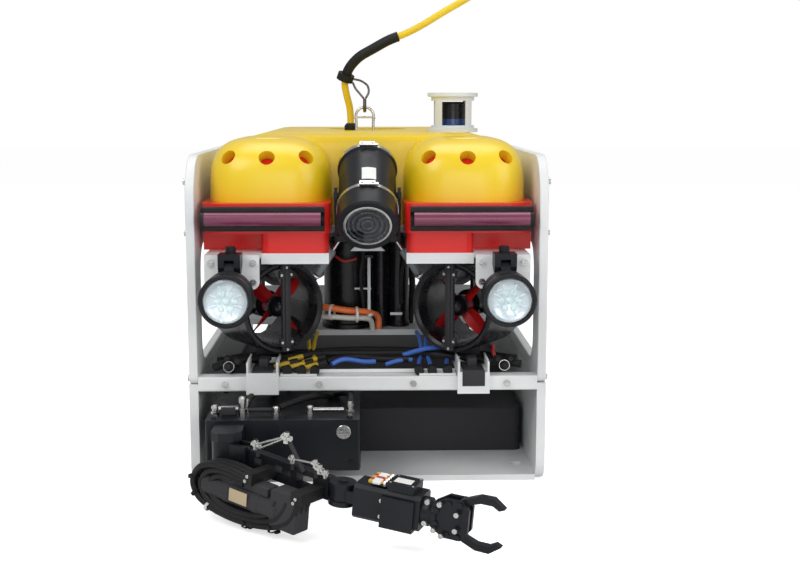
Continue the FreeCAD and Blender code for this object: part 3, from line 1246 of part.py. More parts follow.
def palm():
    """Wrist shaft, collar and two palm plates with the jaw pins and their bolts."""
    frame = wrist_frame()
    shaft = local_rod("wrist_shaft_rod", (-S.wrist_long + 1, 0, 0), "x", S.wrist_shaft, S.wrist_long + 8, frame)
    collar = lathe("collar", [
        (0, S.side_gap), (S.wrist_radius, S.side_gap), (S.wrist_radius, 10), (S.wrist_radius * 0.8, 14),
        (S.wrist_radius * 0.8, 22), (0, 22)], frame, place(0, 0, 0, 0, 90, 0))
    gap = S.jaw_thick / 2 + S.palm_side_gap
    plates = []
    for tag, y in (("near", gap), ("far", -gap - S.palm_thick)):
        body = new_body("palm_plate_" + tag)
        pad(body, outline(sketch(body, body.Name + "_side", "XZ_Plane", y), [
            (14, -S.palm_tall * 0.28), (14, S.palm_tall * 0.28), (34, S.palm_tall / 2), (S.palm_long - 6, S.palm_tall / 2),
            (S.palm_long + 4, S.palm_tall * 0.3), (S.palm_long + 4, -S.palm_tall * 0.3),
            (S.palm_long - 6, -S.palm_tall / 2), (34, -S.palm_tall / 2)]), S.palm_thick)
        seat(body, frame)
        plates.append(body)
    spacer = local_box("palm_spacer", (14, -gap, -S.palm_tall * 0.26), (28, gap, S.palm_tall * 0.26), frame)
    pins = []
    bolts = []
    reach = gap + S.palm_thick
    centre_x = S.palm_long - S.gear_pitch
    for tag, z in (("top", S.gear_pitch), ("low", -S.gear_pitch)):
        pins.append(local_rod("jaw_pin_" + tag, (centre_x, -reach - 2, z), "y", S.jaw_pin, reach * 2 + 4, frame))
    for index, (x, z) in enumerate(((22, 10), (22, -10), (40, 23), (40, -23), (56, 24), (56, -24))):
        for y in (-reach - 3, reach):
            bolts.append(local_rod(f"palm_bolt{index}_{'near' if y is reach else 'far'}", (x, y, z), "y",
                                   S.bolt_head * 0.75, 3, frame))
    return node(fuse("palm_set", shaft, collar, *plates, spacer, *pins, *bolts), "gripper_palm")


def gear_outline(phase, backlash=0.55):
    """Points of a toothed rim about the origin, with a tooth centred at the phase angle."""
    teeth = SIZES["gear_teeth"]
    pitch = SIZES["gear_pitch"]
    module = 2 * pitch / teeth
    root, tip = pitch - 1.2 * module, pitch + 0.75 * module
    half_pitch = math.degrees((math.pi * module / 2 - backlash) / 2 / pitch)
    half_root = half_pitch + math.degrees(1.2 * module * math.tan(math.radians(20)) / pitch)
    half_tip = half_pitch - math.degrees(0.75 * module * math.tan(math.radians(24)) / pitch)
    points = []
    for tooth in range(teeth):
        centre = phase + 360 / teeth * tooth
        for angle, radius in ((-half_root, root), (-half_pitch, pitch), (-half_tip, tip), (half_tip, tip),
                              (half_pitch, pitch), (half_root, root)):
            turned = math.radians(centre + angle)
            points.append((radius * math.cos(turned), radius * math.sin(turned)))
    return points


def jaw(sign, label):
    """Hooked jaw with a geared knuckle, bored for its pin and open by its rest angle."""
    frame = wrist_frame()
    centre = place(S.palm_long - S.gear_pitch, 0, S.gear_pitch if sign > 0 else -S.gear_pitch)
    phase = -90 if sign > 0 else 90 + 180 / SIZES["gear_teeth"]
    knuckle = new_body(label + "_knuckle")
    pad(knuckle, outline(sketch(knuckle, knuckle.Name + "_teeth", "XZ_Plane", -S.jaw_thick / 2),
                         gear_outline(phase)), S.jaw_thick)
    seat(knuckle, frame, centre)
    finger = new_body(label + "_finger")
    rows = [(-2, 3), (-4, 10.5), (6, 15.5), (S.jaw_long * 0.55, 15), (S.jaw_long * 0.84, 7),
            (S.jaw_long, 0.4 - S.gear_pitch), (S.jaw_long * 0.86, 0.4 - S.gear_pitch), (S.jaw_long * 0.76, -2.5),
            (S.jaw_long * 0.52, 4.5), (S.jaw_long * 0.27, 5.5), (8, 3)]
    pad(finger, outline(sketch(finger, finger.Name + "_side", "XZ_Plane", -S.jaw_thick / 2),
                        [(x, as_size(z) * sign) for x, z in rows]), S.jaw_thick)
    seat(finger, frame, centre, place(0, 0, 0, 0, -S.jaw_open if sign > 0 else S.jaw_open, 0))
    bore = doc.addObject("Part::Cylinder", label + "_bore")
    bind(bore, Radius=S.jaw_pin + S.pin_gap, Height=S.jaw_thick * 2)
    seat(bore, frame, centre, place(0, -S.jaw_thick, 0, *AXES["y"]))
    return node(cut(label + "_set", fuse(label + "_solid", knuckle, finger), bore), label)


BUNDLE = [(56, -4), (22, -1), (-16, -3), (-46, -16), (-58, -42), (-44, -64), (-10, -75), (34, -78), (80, -74),
          (120, -64), (149, -46), (160, -15)]


def hose_bundle():
    """Black hydraulic hoses looped side by side along the upper arm, between two clamp blocks."""
    frame = lift_frame()
    made = []
    for index in range(3):
        line = -S.bundle_side - S.bundle_pitch * (index - 1)
        loop = hose(f"bundle{index}", [(x, line.value, z) for x, z in BUNDLE], SIZES["bundle_radius"])
        made.append(seat(loop, frame))
    outer = -S.bundle_side - S.bundle_pitch - S.bundle_radius - 2
    made.append(local_box("bundle_clamp_root", (56, outer, -12), (72, -S.upper_wide / 2, 6), frame))
    made.append(local_box("bundle_clamp_tip", (150, outer, -15), (170, -S.upper_wide / 2, 3), frame))
    return node(group("bundle_set", *made), "hose_bundle")


# ---------------------------------------------------------------- fasteners
def plate_bolts():
    """Bolt heads on the front beam, the lamp plates, the manipulator base and the side plates."""
    beam_z = S.beam_low + S.beam_tall / 2
    spots = [(x, -S.half_length, beam_z) for x in (-S.half_width + 60, -82, 76, S.half_width - 66)]
    for side in (-1, 1):
        for dx in (-S.lamp_plate_wide * 0.39, S.lamp_plate_wide * 0.39):
            for z in (S.lamp_plate_low + 12, S.lamp_plate_low + 44):
                spots.append((S.lamp_x * side + dx, -S.lamp_plate_front, z))
    spots.append((-S.base_right - 26, -S.base_front, S.base_top - 20))
    heads = screws("front_bolt", spots, "y", -1)
    outer = []
    for y in (-S.half_length + 16, S.half_length - 16):
        for z in (S.beam_low + S.beam_tall / 2 + 2, S.tray_low + S.tray_thick / 2, S.float_low + 30):
            outer.append((y, z))
    for y in (-S.window_rib / 8, S.window_rib / 8):
        outer.append((y, S.tray_low + S.tray_thick / 2))
    left = screws("left_bolt", [(-S.half_width, y, z + 6) for y, z in outer], "x", -1)
    right = screws("right_bolt", [(S.half_width, y, z + 6) for y, z in outer], "x", 1)
    return node(group("bolt_set", *heads, *left, *right), "plate_bolts")


def build():
    """Make every sub-part."""
    side_plate(-1, "side_plate_left")
    side_plate(1, "side_plate_right")
    skid_sides()
    skid_base()
    skid_block()
    crossbeams()
    deck_plate()
    float_tray()
    float_body()
    hole_liners()
    bumper(-1, "bumper_left")
    bumper(1, "bumper_right")
    fenders()
    front_brackets()
    lamp_clamps()
    lamp(-1, "left")
    lamp(1, "right")
    thrusters()
    rails()
    pods()
    camera_bracket()
    camera()
    sonar()
    tether(lifting())
    harness()
    arm_base()
    arm_yoke()
    upper_arm()
    arm_tubes()
    forearm()
    valve_pack()
    palm()
    jaw(1, "jaw_upper")
    jaw(-1, "jaw_lower")
    hose_bundle()
    plate_bolts()
    doc.recompute()


def export():
    """Check every object and write each sub-part."""
    for item in doc.Objects:
        if any(word in state for state in item.State for word in ("Invalid", "Error")):
            raise RuntimeError(f"{item.Name} failed: {item.State}")
    os.makedirs("parts", exist_ok=True)
    for item in finished:
        shape = item.Shape
        if shape.isNull() or not shape.isValid():
            raise RuntimeError(f"{item.Label} has no valid shape")
        shape.exportStep(os.path.join("parts", item.Label + ".step"))
    print(len(finished), "sub-parts written")


build()
export()
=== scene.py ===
"""Dressed scene of an open-frame underwater inspection vehicle with a gripper arm.

Every length is in metres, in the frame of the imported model: +X to the viewer's right
seen from the front, +Y backwards, +Z up, with the origin under the middle of the skid.
"""
from __future__ import annotations

import logging
import math
from dataclasses import dataclass, field
from enum import Enum
from typing import Sequence

import bmesh
import bpy
from mathutils import Matrix, Vector


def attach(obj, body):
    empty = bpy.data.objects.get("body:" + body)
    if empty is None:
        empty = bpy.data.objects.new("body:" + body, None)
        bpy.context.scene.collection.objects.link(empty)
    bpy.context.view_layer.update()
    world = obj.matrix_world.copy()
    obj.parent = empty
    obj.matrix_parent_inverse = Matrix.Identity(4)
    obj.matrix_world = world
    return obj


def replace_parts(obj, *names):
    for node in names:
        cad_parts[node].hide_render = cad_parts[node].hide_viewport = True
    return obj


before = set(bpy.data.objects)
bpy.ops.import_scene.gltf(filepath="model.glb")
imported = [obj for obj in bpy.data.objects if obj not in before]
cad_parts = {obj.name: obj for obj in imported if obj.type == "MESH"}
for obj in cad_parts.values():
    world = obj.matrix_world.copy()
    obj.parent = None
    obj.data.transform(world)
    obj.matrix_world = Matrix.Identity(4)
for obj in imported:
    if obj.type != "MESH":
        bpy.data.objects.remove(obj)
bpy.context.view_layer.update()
log = logging.getLogger("rov")

Point = tuple[float, float, float]
Colour = tuple[float, float, float]

MIX_FACTOR, MIX_FIRST, MIX_SECOND, MIX_OUT = 0, 6, 7, 2  # sockets of a Mix node that blends colours
RANDOM_MAX, RANDOM_OUT = 3, 1  # sockets of a Random Value node that gives floats
WHITE = (1.0, 1.0, 1.0, 1.0)
FORWARD, UPWARD = (0, -1, 0), (0, 0, 1)


# ------------------------------------------------------------------ finishes
BRUSH_STRETCH = 14.0  # how far brushed grain is drawn out along Z
PATCH_SPAN = (0.35, 0.72)  # part of the patch noise that blends the two colours
SCUFF_SPAN = (0.3, 0.7)  # part of the scuff noise that moves the roughness
SCUFF_RATIO = 4.3  # scuffs are this much finer than the patches
RELIEF_DEPTH = 0.0006
class Texture(Enum):
    """How a finish's small relief is laid out."""

    GRAIN = "grain"
    BRUSHED = "brushed"
    SMOOTH = "smooth"


@dataclass(frozen=True)
class Finish:
    """One surface finish, built as a node material on Object coordinates."""

    name: str
    colour: Colour
    second: Colour
    roughness: float = 0.45
    spread: float = 0.12
    metallic: float = 0.0
    coat: float = 0.0
    relief: float = 0.15
    relief_scale: float = 180.0
    patch_scale: float = 9.0
    texture: Texture = Texture.GRAIN
    specular: float = 0.5
    transmission: float = 0.0
    glow: float = 0.0
    coat_roughness: float = 0.08

    def material(self) -> bpy.types.Material:
        """Build the material, or return the one built before.

        Returns:
            The node material of this finish.
        """
        known = bpy.data.materials.get(self.name)
        if known:
            return known
        made = bpy.data.materials.new(self.name)
        made.use_nodes = True
        nodes, links = made.node_tree.nodes, made.node_tree.links
        shader = nodes["Principled BSDF"]
        place = nodes.new("ShaderNodeTexCoord")
        stretch = nodes.new("ShaderNodeMapping")
        if self.texture is Texture.BRUSHED:
            stretch.inputs["Scale"].default_value = (1.0, 1.0, BRUSH_STRETCH)
        links.new(place.outputs["Object"], stretch.inputs["Vector"])
        patches = self._noise(nodes, links, stretch, self.patch_scale, 4.0)
        blend = nodes.new("ShaderNodeMix")
        blend.data_type = "RGBA"
        blend.inputs[MIX_FIRST].default_value = (*self.colour, 1.0)
        blend.inputs[MIX_SECOND].default_value = (*self.second, 1.0)
        links.new(self._remap(nodes, links, patches, PATCH_SPAN, (0.0, 1.0)), blend.inputs[MIX_FACTOR])
        links.new(blend.outputs[MIX_OUT], shader.inputs["Base Color"])
        scuffs = self._noise(nodes, links, stretch, self.patch_scale * SCUFF_RATIO, 6.0)
        rough = (max(0.02, self.roughness - self.spread), min(1.0, self.roughness + self.spread))
        links.new(self._remap(nodes, links, scuffs, SCUFF_SPAN, rough), shader.inputs["Roughness"])
        if self.texture is not Texture.SMOOTH:
            grain = self._noise(nodes, links, stretch, self.relief_scale, 3.0)
            bump = nodes.new("ShaderNodeBump")
            bump.inputs["Strength"].default_value = self.relief
            bump.inputs["Distance"].default_value = RELIEF_DEPTH
            links.new(grain.outputs["Fac"], bump.inputs["Height"])
            links.new(bump.outputs["Normal"], shader.inputs["Normal"])
        for label, value in (("Metallic", self.metallic), ("Specular IOR Level", self.specular),
                             ("Coat Weight", self.coat), ("Coat Roughness", self.coat_roughness),
                             ("Transmission Weight", self.transmission)):
            shader.inputs[label].default_value = value
        # Emission in the finish's own colour: the light of the lamp chips, and a painted glow on the lamp bowl.
        if self.glow:
            shader.inputs["Emission Color"].default_value = (*self.colour, 1.0)
            shader.inputs["Emission Strength"].default_value = self.glow
        return made

    @staticmethod
    def _noise(nodes: bpy.types.Nodes, links: bpy.types.NodeLinks, source: bpy.types.Node, scale: float,
               detail: float) -> bpy.types.Node:
        """Add a noise texture read at the source's vector.

        Args:
            nodes: The material's nodes.
            links: The material's links.
            source: The mapping node.
            scale: Texture scale per metre.
            detail: Octaves.

        Returns:
            The noise node.
        """
        noise = nodes.new("ShaderNodeTexNoise")
        noise.inputs["Scale"].default_value = scale
        noise.inputs["Detail"].default_value = detail
        links.new(source.outputs["Vector"], noise.inputs["Vector"])
        return noise

    @staticmethod
    def _remap(nodes: bpy.types.Nodes, links: bpy.types.NodeLinks, noise: bpy.types.Node,
               span: tuple[float, float], result: tuple[float, float]) -> bpy.types.NodeSocket:
        """Stretch a span of a noise over a range of results.

        Args:
            nodes: The material's nodes.
            links: The material's links.
            noise: The noise node.
            span: Lowest and highest noise that count.
            result: What those two become.

        Returns:
            The socket of the result.
        """
        remap = nodes.new("ShaderNodeMapRange")
        remap.inputs["From Min"].default_value, remap.inputs["From Max"].default_value = span
        remap.inputs["To Min"].default_value, remap.inputs["To Max"].default_value = result
        links.new(noise.outputs["Fac"], remap.inputs["Value"])
        return remap.outputs["Result"]


WHITE_SHEET = Finish("white_sheet", (0.80, 0.81, 0.81), (0.70, 0.72, 0.73), 0.42, 0.10, relief=0.10)
DECK_SHEET = Finish("deck_sheet", (0.52, 0.54, 0.55), (0.44, 0.46, 0.47), 0.5, 0.1)
GEL_YELLOW = Finish("gel_yellow", (0.86, 0.62, 0.012), (0.78, 0.54, 0.008), 0.34, 0.06, coat=0.30, relief=0.05,
                    relief_scale=60.0, patch_scale=3.5, coat_roughness=0.26)
BUMPER_RED = Finish("bumper_red", (0.78, 0.017, 0.004), (0.66, 0.010, 0.003), 0.24, 0.06, coat=0.6, relief=0.04)
BLADE_RED = Finish("blade_red", (0.40, 0.008, 0.010), (0.28, 0.005, 0.006), 0.35, 0.08, coat=0.15)
RUBBER = Finish("rubber", (0.007, 0.007, 0.008), (0.013, 0.013, 0.014), 0.52, 0.1, relief=0.3, specular=0.28)
PLUM = Finish("plum_tube", (0.20, 0.030, 0.080), (0.16, 0.022, 0.062), 0.30, 0.06, coat=0.4, coat_roughness=0.2)
BLOCK_BLACK = Finish("block_black", (0.006, 0.006, 0.0065), (0.010, 0.010, 0.011), 0.48, 0.12, relief=0.30,
                     relief_scale=320.0, specular=0.28)
GLOSS_BLACK = Finish("gloss_black", (0.006, 0.006, 0.008), (0.010, 0.010, 0.013), 0.28, 0.08, coat=0.06, specular=0.30,
                     coat_roughness=0.2)
ANODISED = Finish("anodised_black", (0.008, 0.009, 0.012), (0.014, 0.015, 0.019), 0.38, 0.08, metallic=0.2,
                  specular=0.32)
STEEL = Finish("bright_steel", (0.62, 0.62, 0.60), (0.50, 0.50, 0.49), 0.24, 0.08, metallic=1.0,
               texture=Texture.BRUSHED)
GREY_PAINT = Finish("grey_paint", (0.25, 0.28, 0.30), (0.20, 0.22, 0.24), 0.4, 0.1)
ACETAL = Finish("white_acetal", (0.74, 0.78, 0.80), (0.66, 0.70, 0.72), 0.38, 0.08)
JACKET = Finish("yellow_jacket", (0.84, 0.60, 0.012), (0.72, 0.50, 0.01), 0.42, 0.08,
                texture=Texture.SMOOTH)
LEAD_BLUE = Finish("lead_blue", (0.005, 0.055, 0.24), (0.004, 0.035, 0.16), 0.4, 0.08)
LEAD_YELLOW = Finish("lead_yellow", (0.58, 0.40, 0.02), (0.46, 0.31, 0.015), 0.4, 0.08)
HOSE_ORANGE = Finish("hose_orange", (0.72, 0.06, 0.01), (0.60, 0.04, 0.01), 0.38, 0.08)
HOSE_WHITE = Finish("hose_white", (0.70, 0.68, 0.62), (0.58, 0.56, 0.50), 0.4, 0.08)
GLASS = Finish("port_glass", (0.90, 0.94, 0.96), (0.86, 0.90, 0.92), 0.04, 0.02, transmission=1.0,
               texture=Texture.SMOOTH)
PORT_GLASS = Finish("camera_glass", (0.40, 0.42, 0.45), (0.36, 0.38, 0.41), 0.04, 0.02, transmission=1.0,
                    texture=Texture.SMOOTH, specular=0.12)
CONE_METAL = Finish("cone_metal", (0.10, 0.11, 0.13), (0.07, 0.08, 0.10), 0.26, 0.06, metallic=0.85, relief=0.05)
WIRE_ROPE = Finish("wire_rope", (0.17, 0.16, 0.14), (0.06, 0.055, 0.05), 0.42, 0.12, metallic=0.75, relief=0.6,
                   relief_scale=420.0, patch_scale=120.0)
# The lamp bowl's faint glow is painted light: a painted reflection on a reflector that makes no light of its own.
LAMP_BOWL_PAINTED_GLOW = Finish("lamp_bowl_painted_glow", (0.80, 0.84, 0.86), (0.66, 0.71, 0.74), 0.22, 0.08, metallic=0.45, relief=0.2,
                   glow=0.04)
LAMP_CHIP = Finish("lamp_chip", (0.62, 0.72, 0.70), (0.50, 0.60, 0.58), 0.3, 0.05, glow=0.30)
PLATE_BLANK = Finish("blank_plate", (0.78, 0.78, 0.76), (0.70, 0.70, 0.68), 0.5, 0.1)
BEIGE_PATCH = Finish("beige_patch", (0.52, 0.42, 0.26), (0.44, 0.35, 0.22), 0.5, 0.1)
LENS_RING = Finish("lens_ring", (0.36, 0.38, 0.40), (0.24, 0.25, 0.27), 0.28, 0.08, metallic=0.7, relief=0.1)
LENS_EYE = Finish("lens_eye", (0.16, 0.17, 0.20), (0.05, 0.05, 0.07), 0.12, 0.05, metallic=0.6, relief=0.05)
LEAD_RED = Finish("lead_red", (0.45, 0.02, 0.02), (0.34, 0.012, 0.012), 0.4, 0.08)
SONAR_BLUE = Finish("sonar_blue", (0.015, 0.05, 0.22), (0.01, 0.04, 0.16), 0.3, 0.06, coat=0.3)

NODE_FINISH: dict[str, Finish] = {
    "side_plate_left": WHITE_SHEET, "side_plate_right": WHITE_SHEET, "skid_sides": WHITE_SHEET,
    "skid_base": WHITE_SHEET, "crossbeams": WHITE_SHEET, "float_tray": WHITE_SHEET, "front_brackets": WHITE_SHEET,
    # camera_bracket gets the black anodised finish as painted shade: the white bracket's cheeks stand in shadow beside
    # the camera.
    "thruster_rails": WHITE_SHEET, "camera_bracket": ANODISED, "deck_plate": DECK_SHEET,
    "skid_block": BLOCK_BLACK, "float": GEL_YELLOW, "bumper_left": BUMPER_RED, "bumper_right": BUMPER_RED,
    "hole_liners": BUMPER_RED, "fender_channels": RUBBER, "fender_tubes": PLUM, "tether_sleeve": RUBBER,
    "hose_bundle": RUBBER, "connectors": RUBBER, "tether_gland": RUBBER, "ducts_front": GLOSS_BLACK,
    "ducts_rear": GLOSS_BLACK, "duct_vertical": GLOSS_BLACK, "thruster_motors": GLOSS_BLACK,
    "electronics_pods": GLOSS_BLACK, "sonar_head": GLOSS_BLACK, "propeller_front_left": BLADE_RED,
    "propeller_front_right": BLADE_RED, "propeller_rear_left": BLADE_RED, "propeller_rear_right": BLADE_RED,
    "propeller_vertical": BLADE_RED, "lift_bail": STEEL, "wire_strop": WIRE_ROPE, "arm_tubes": STEEL,
    "plate_bolts": STEEL, "camera_bands": STEEL, "tether_fitting": STEEL, "sonar_cage": ACETAL, "tether": JACKET,
    "leads_yellow": LEAD_YELLOW, "leads_blue": LEAD_BLUE, "hose_orange": HOSE_ORANGE, "struts": GREY_PAINT,
    "lamp_lens_left": GLASS, "lamp_lens_right": GLASS, "camera_lens": PORT_GLASS,
}


def dress_nodes() -> None:
    """Give every carried-over node its finish."""
    for name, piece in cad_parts.items():
        finish = NODE_FINISH.get(name, ANODISED)
        made = finish.material()
        for slot in piece.material_slots:
            slot.material = made
        if not piece.material_slots:
            piece.data.materials.append(made)


# ------------------------------------------------------------------ placing
def turn(axis: str, degrees: float) -> Matrix:
    """Rotation about one axis, in degrees."""
    return Matrix.Rotation(math.radians(degrees), 4, axis)


def move(x: float = 0.0, y: float = 0.0, z: float = 0.0) -> Matrix:
    """Translation."""
    return Matrix.Translation((x, y, z))


THRUSTER_PLACE: Point = (0.177, 0.395, 0.294)
THRUSTER_TOE = 34
LAMP_PIVOT: Point = (0.223, -0.548, 0.378)
LAMP_TILT = 3


def thruster_frame(side: int, end: int) -> Matrix:
    """Frame of a horizontal thruster, whose own +Z runs out of the mouth.

    Args:
        side: -1 for the left, 1 for the right.
        end: -1 in front, 1 behind.

    Returns:
        The frame.
    """
    x, y, z = THRUSTER_PLACE
    toe = -THRUSTER_TOE * side
    return move(x * side, y * end, z) @ turn("Z", toe if end < 0 else 180 - toe) @ turn("X", 90)


def lamp_frame(side: int) -> Matrix:
    """Frame of the lamp of a side (-1 left, 1 right), whose own +Z runs out of the glass."""
    x, y, z = LAMP_PIVOT
    return move(x * side, y, z) @ turn("X", LAMP_TILT) @ move(0, -0.015, -0.042) @ turn("X", 90)


def side_tag(side: int) -> str:
    """Name of a side: -1 is left, 1 is right."""
    return "left" if side < 0 else "right"


CAMERA_FRAME = move(0, -0.4495, 0.4865) @ turn("X", 33) @ turn("X", 90)
LIFT_FRAME = move(-0.222, -0.640, 0.096) @ turn("Z", -38) @ move(0.038) @ turn("Y", 6)
ELBOW_FRAME = LIFT_FRAME @ move(0.196) @ turn("Z", 16)
WRIST_FRAME = ELBOW_FRAME @ move(0.128)


def frame_along(where: Sequence[float], outward: Sequence[float]) -> Matrix:
    """Frame at a point whose +Z runs along a direction."""
    return Matrix.Translation(Vector(where)) @ Vector(outward).to_track_quat("Z", "Y").to_matrix().to_4x4()


# ------------------------------------------------------------------ mesh makers
def link_piece(name: str, data: bpy.types.ID, body: str | None) -> bpy.types.Object:
    """Put a mesh or curve into the scene.

    Args:
        name: The object's name.
        data: Its mesh or curve.
        body: The body that it rides on, or None for a helper object.

    Returns:
        The object.
    """
    piece = bpy.data.objects.new(name, data)
    bpy.context.collection.objects.link(piece)
    if body:
        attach(piece, body)
    return piece


def shade(bm: bmesh.types.BMesh, smooth: float) -> None:
    """Shade faces smooth, and keep edges sharp where faces meet at more than an angle in degrees."""
    limit = math.radians(smooth)
    for face in bm.faces:
        face.smooth = True
    for edge in bm.edges:
        edge.smooth = len(edge.link_faces) == 2 and edge.calc_face_angle(0.0) < limit
def finish_mesh(name: str, bm: bmesh.types.BMesh, finish: Finish, body: str, place: Matrix | None = None,
                smooth: float = 40.0) -> bpy.types.Object:
    """Turn a bmesh into a placed, dressed piece that rides on a body.

    Args:
        name: The piece's name.
        bm: The mesh in its own frame; it is freed.
        finish: Its finish.
        body: The body that it rides on.
        place: Where its own frame lies.
        smooth: Angle in degrees under which edges are shaded smooth.

    Returns:
        The piece.
    """
    if place is not None:
        bm.transform(place)
    bmesh.ops.remove_doubles(bm, verts=bm.verts, dist=1e-6)
    bmesh.ops.recalc_face_normals(bm, faces=bm.faces)
    shade(bm, smooth)
    mesh = bpy.data.meshes.new(name)
    bm.to_mesh(mesh)
    bm.free()
    mesh.materials.append(finish.material())
    return link_piece(name, mesh, body)


def lathe(bm: bmesh.types.BMesh, profile: Sequence[tuple[float, float]], steps: int = 48,
          place: Matrix | None = None) -> None:
    """Revolve (radius, height) points about Z into closed faces.

    Args:
        bm: Mesh that receives the form.
        profile: Points from one end to the other.
        steps: Divisions of the turn.
        place: Frame of the form.
    """
    place = place or Matrix.Identity(4)
    rings = []
    for radius, height in profile:
        if radius < 1e-7:
            rings.append([bm.verts.new(place @ Vector((0, 0, height)))])
        else:
            rings.append([bm.verts.new(place @ Vector((radius * math.cos(math.tau * k / steps),
                                                       radius * math.sin(math.tau * k / steps), height)))
                          for k in range(steps)])
    for low, high in zip(rings, rings[1:]):
        for k in range(steps):
            following = (k + 1) % steps
            corners = [low[k % len(low)], low[following % len(low)], high[following % len(high)], high[k % len(high)]]
            unique = list(dict.fromkeys(corners))
            if len(unique) > 2:
                bm.faces.new(unique)


def round_bar(bm: bmesh.types.BMesh, low: Vector, high: Vector, radius: float, steps: int, place: Matrix) -> None:
    """Add a round bar between two points.

    Args:
        bm: Mesh that receives the bar.
        low: Middle of one end.
        high: Middle of the other end.
        radius: Its radius.
        steps: Sides of the bar.
        place: Frame of the points.
    """
    size = (high - low).length
    lathe(bm, [(0, 0), (radius, 0), (radius, size), (0, size)], steps, place @ frame_along(low, high - low))


def hoop(bm: bmesh.types.BMesh, section: Sequence[tuple[float, float]], steps: int, place: Matrix) -> None:
    """Revolve a section of (radius, height) points about Z into a closed ring.

    Args:
        bm: Mesh that receives the ring; all else in it is closed.
        section: Points round the section, not repeated at the end.
        steps: Divisions of the turn.
        place: Frame of the ring.
    """
    lathe(bm, section, steps, place)
    bmesh.ops.bridge_loops(bm, edges=[edge for edge in bm.edges if len(edge.link_faces) == 1])


def join_rings(bm: bmesh.types.BMesh, rings: Sequence[list[bmesh.types.BMVert]], caps: bool = True) -> None:
    """Skin over rings of equal count, in order.

    Args:
        bm: Mesh that holds the rings.
        rings: Rings of vertices.
        caps: Whether the first and last ring are closed by a face.
    """
    for first, second in zip(rings, rings[1:]):
        count = len(first)
        for k in range(count):
            bm.faces.new((first[k], first[(k + 1) % count], second[(k + 1) % count], second[k]))
    if caps:
        bm.faces.new(rings[0])
        bm.faces.new(list(reversed(rings[-1])))


def slab(bm: bmesh.types.BMesh, low: Point, high: Point, bevel: float = 0.0,
         place: Matrix | None = None) -> None:
    """Add a box between two corners with softened edges.

    Args:
        bm: Mesh that receives the box.
        low: Low corner.
        high: High corner.
        bevel: Edge radius.
        place: Frame of the box.
    """
    made = bmesh.ops.create_cube(bm, size=1.0)
    verts = made["verts"]
    middle = [(a + b) / 2 for a, b in zip(low, high)]
    size = [b - a for a, b in zip(low, high)]
    for vert in verts:
        vert.co = Vector([m + c * s for m, c, s in zip(middle, vert.co, size)])
    if bevel:
        edges = list({edge for vert in verts for edge in vert.link_edges})
        out = bmesh.ops.bevel(bm, geom=edges, offset=bevel, segments=2, affect="EDGES", profile=0.6)
        verts = list({vert for face in out["faces"] for vert in face.verts} | {v for v in verts if v.is_valid})
    if place is not None:
        bmesh.ops.transform(bm, matrix=place, verts=verts)


def nurbs(name: str, points: Sequence[Point], radius: float, finish: Finish, body: str | None,
          place: Matrix | None = None) -> bpy.types.Object:
    """A round cord on a smooth spline through control points.

    Args:
        name: The piece's name.
        points: Control points.
        radius: Cord radius.
        finish: Its finish.
        body: The body that it rides on, or None where the caller lets it ride.
        place: Frame of the points.

    Returns:
        The curve piece.
    """
    curve = bpy.data.curves.new(name, "CURVE")
    curve.dimensions = "3D"
    curve.bevel_depth = radius
    curve.bevel_resolution = 5
    curve.resolution_u = 10
    curve.use_fill_caps = True
    spline = curve.splines.new("NURBS")
    spline.points.add(len(points) - 1)
    for spot, point in zip(spline.points, points):
        where = Vector(point) if place is None else place @ Vector(point)
        spot.co = (*where, 1.0)
    spline.order_u = 3
    spline.use_endpoint_u = True
    curve.materials.append(finish.material())
    return link_piece(name, curve, body)


def hose(name: str, points: Sequence[Point], radius: float, finish: Finish, body: str,
         place: Matrix | None = None) -> bpy.types.Object:
    """A hose or lead fixed at both ends: a cord on a smooth spline, kept as a plain mesh.

    Args:
        name: The piece's name.
        points: Control points.
        radius: Its radius.
        finish: Its finish.
        body: The body that it rides on.
        place: Frame of the points.

    Returns:
        The mesh piece.
    """
    line = nurbs(name, points, radius, finish, None, place)
    line.name = name + "_line"
    return bake(line, name, body, 60.0)


# ------------------------------------------------------------------ repeats, by Geometry Nodes and modifiers
class Head(Enum):
    """Kinds of fastener head."""

    HEX = 6
    SOCKET = 32
    PAN = 24


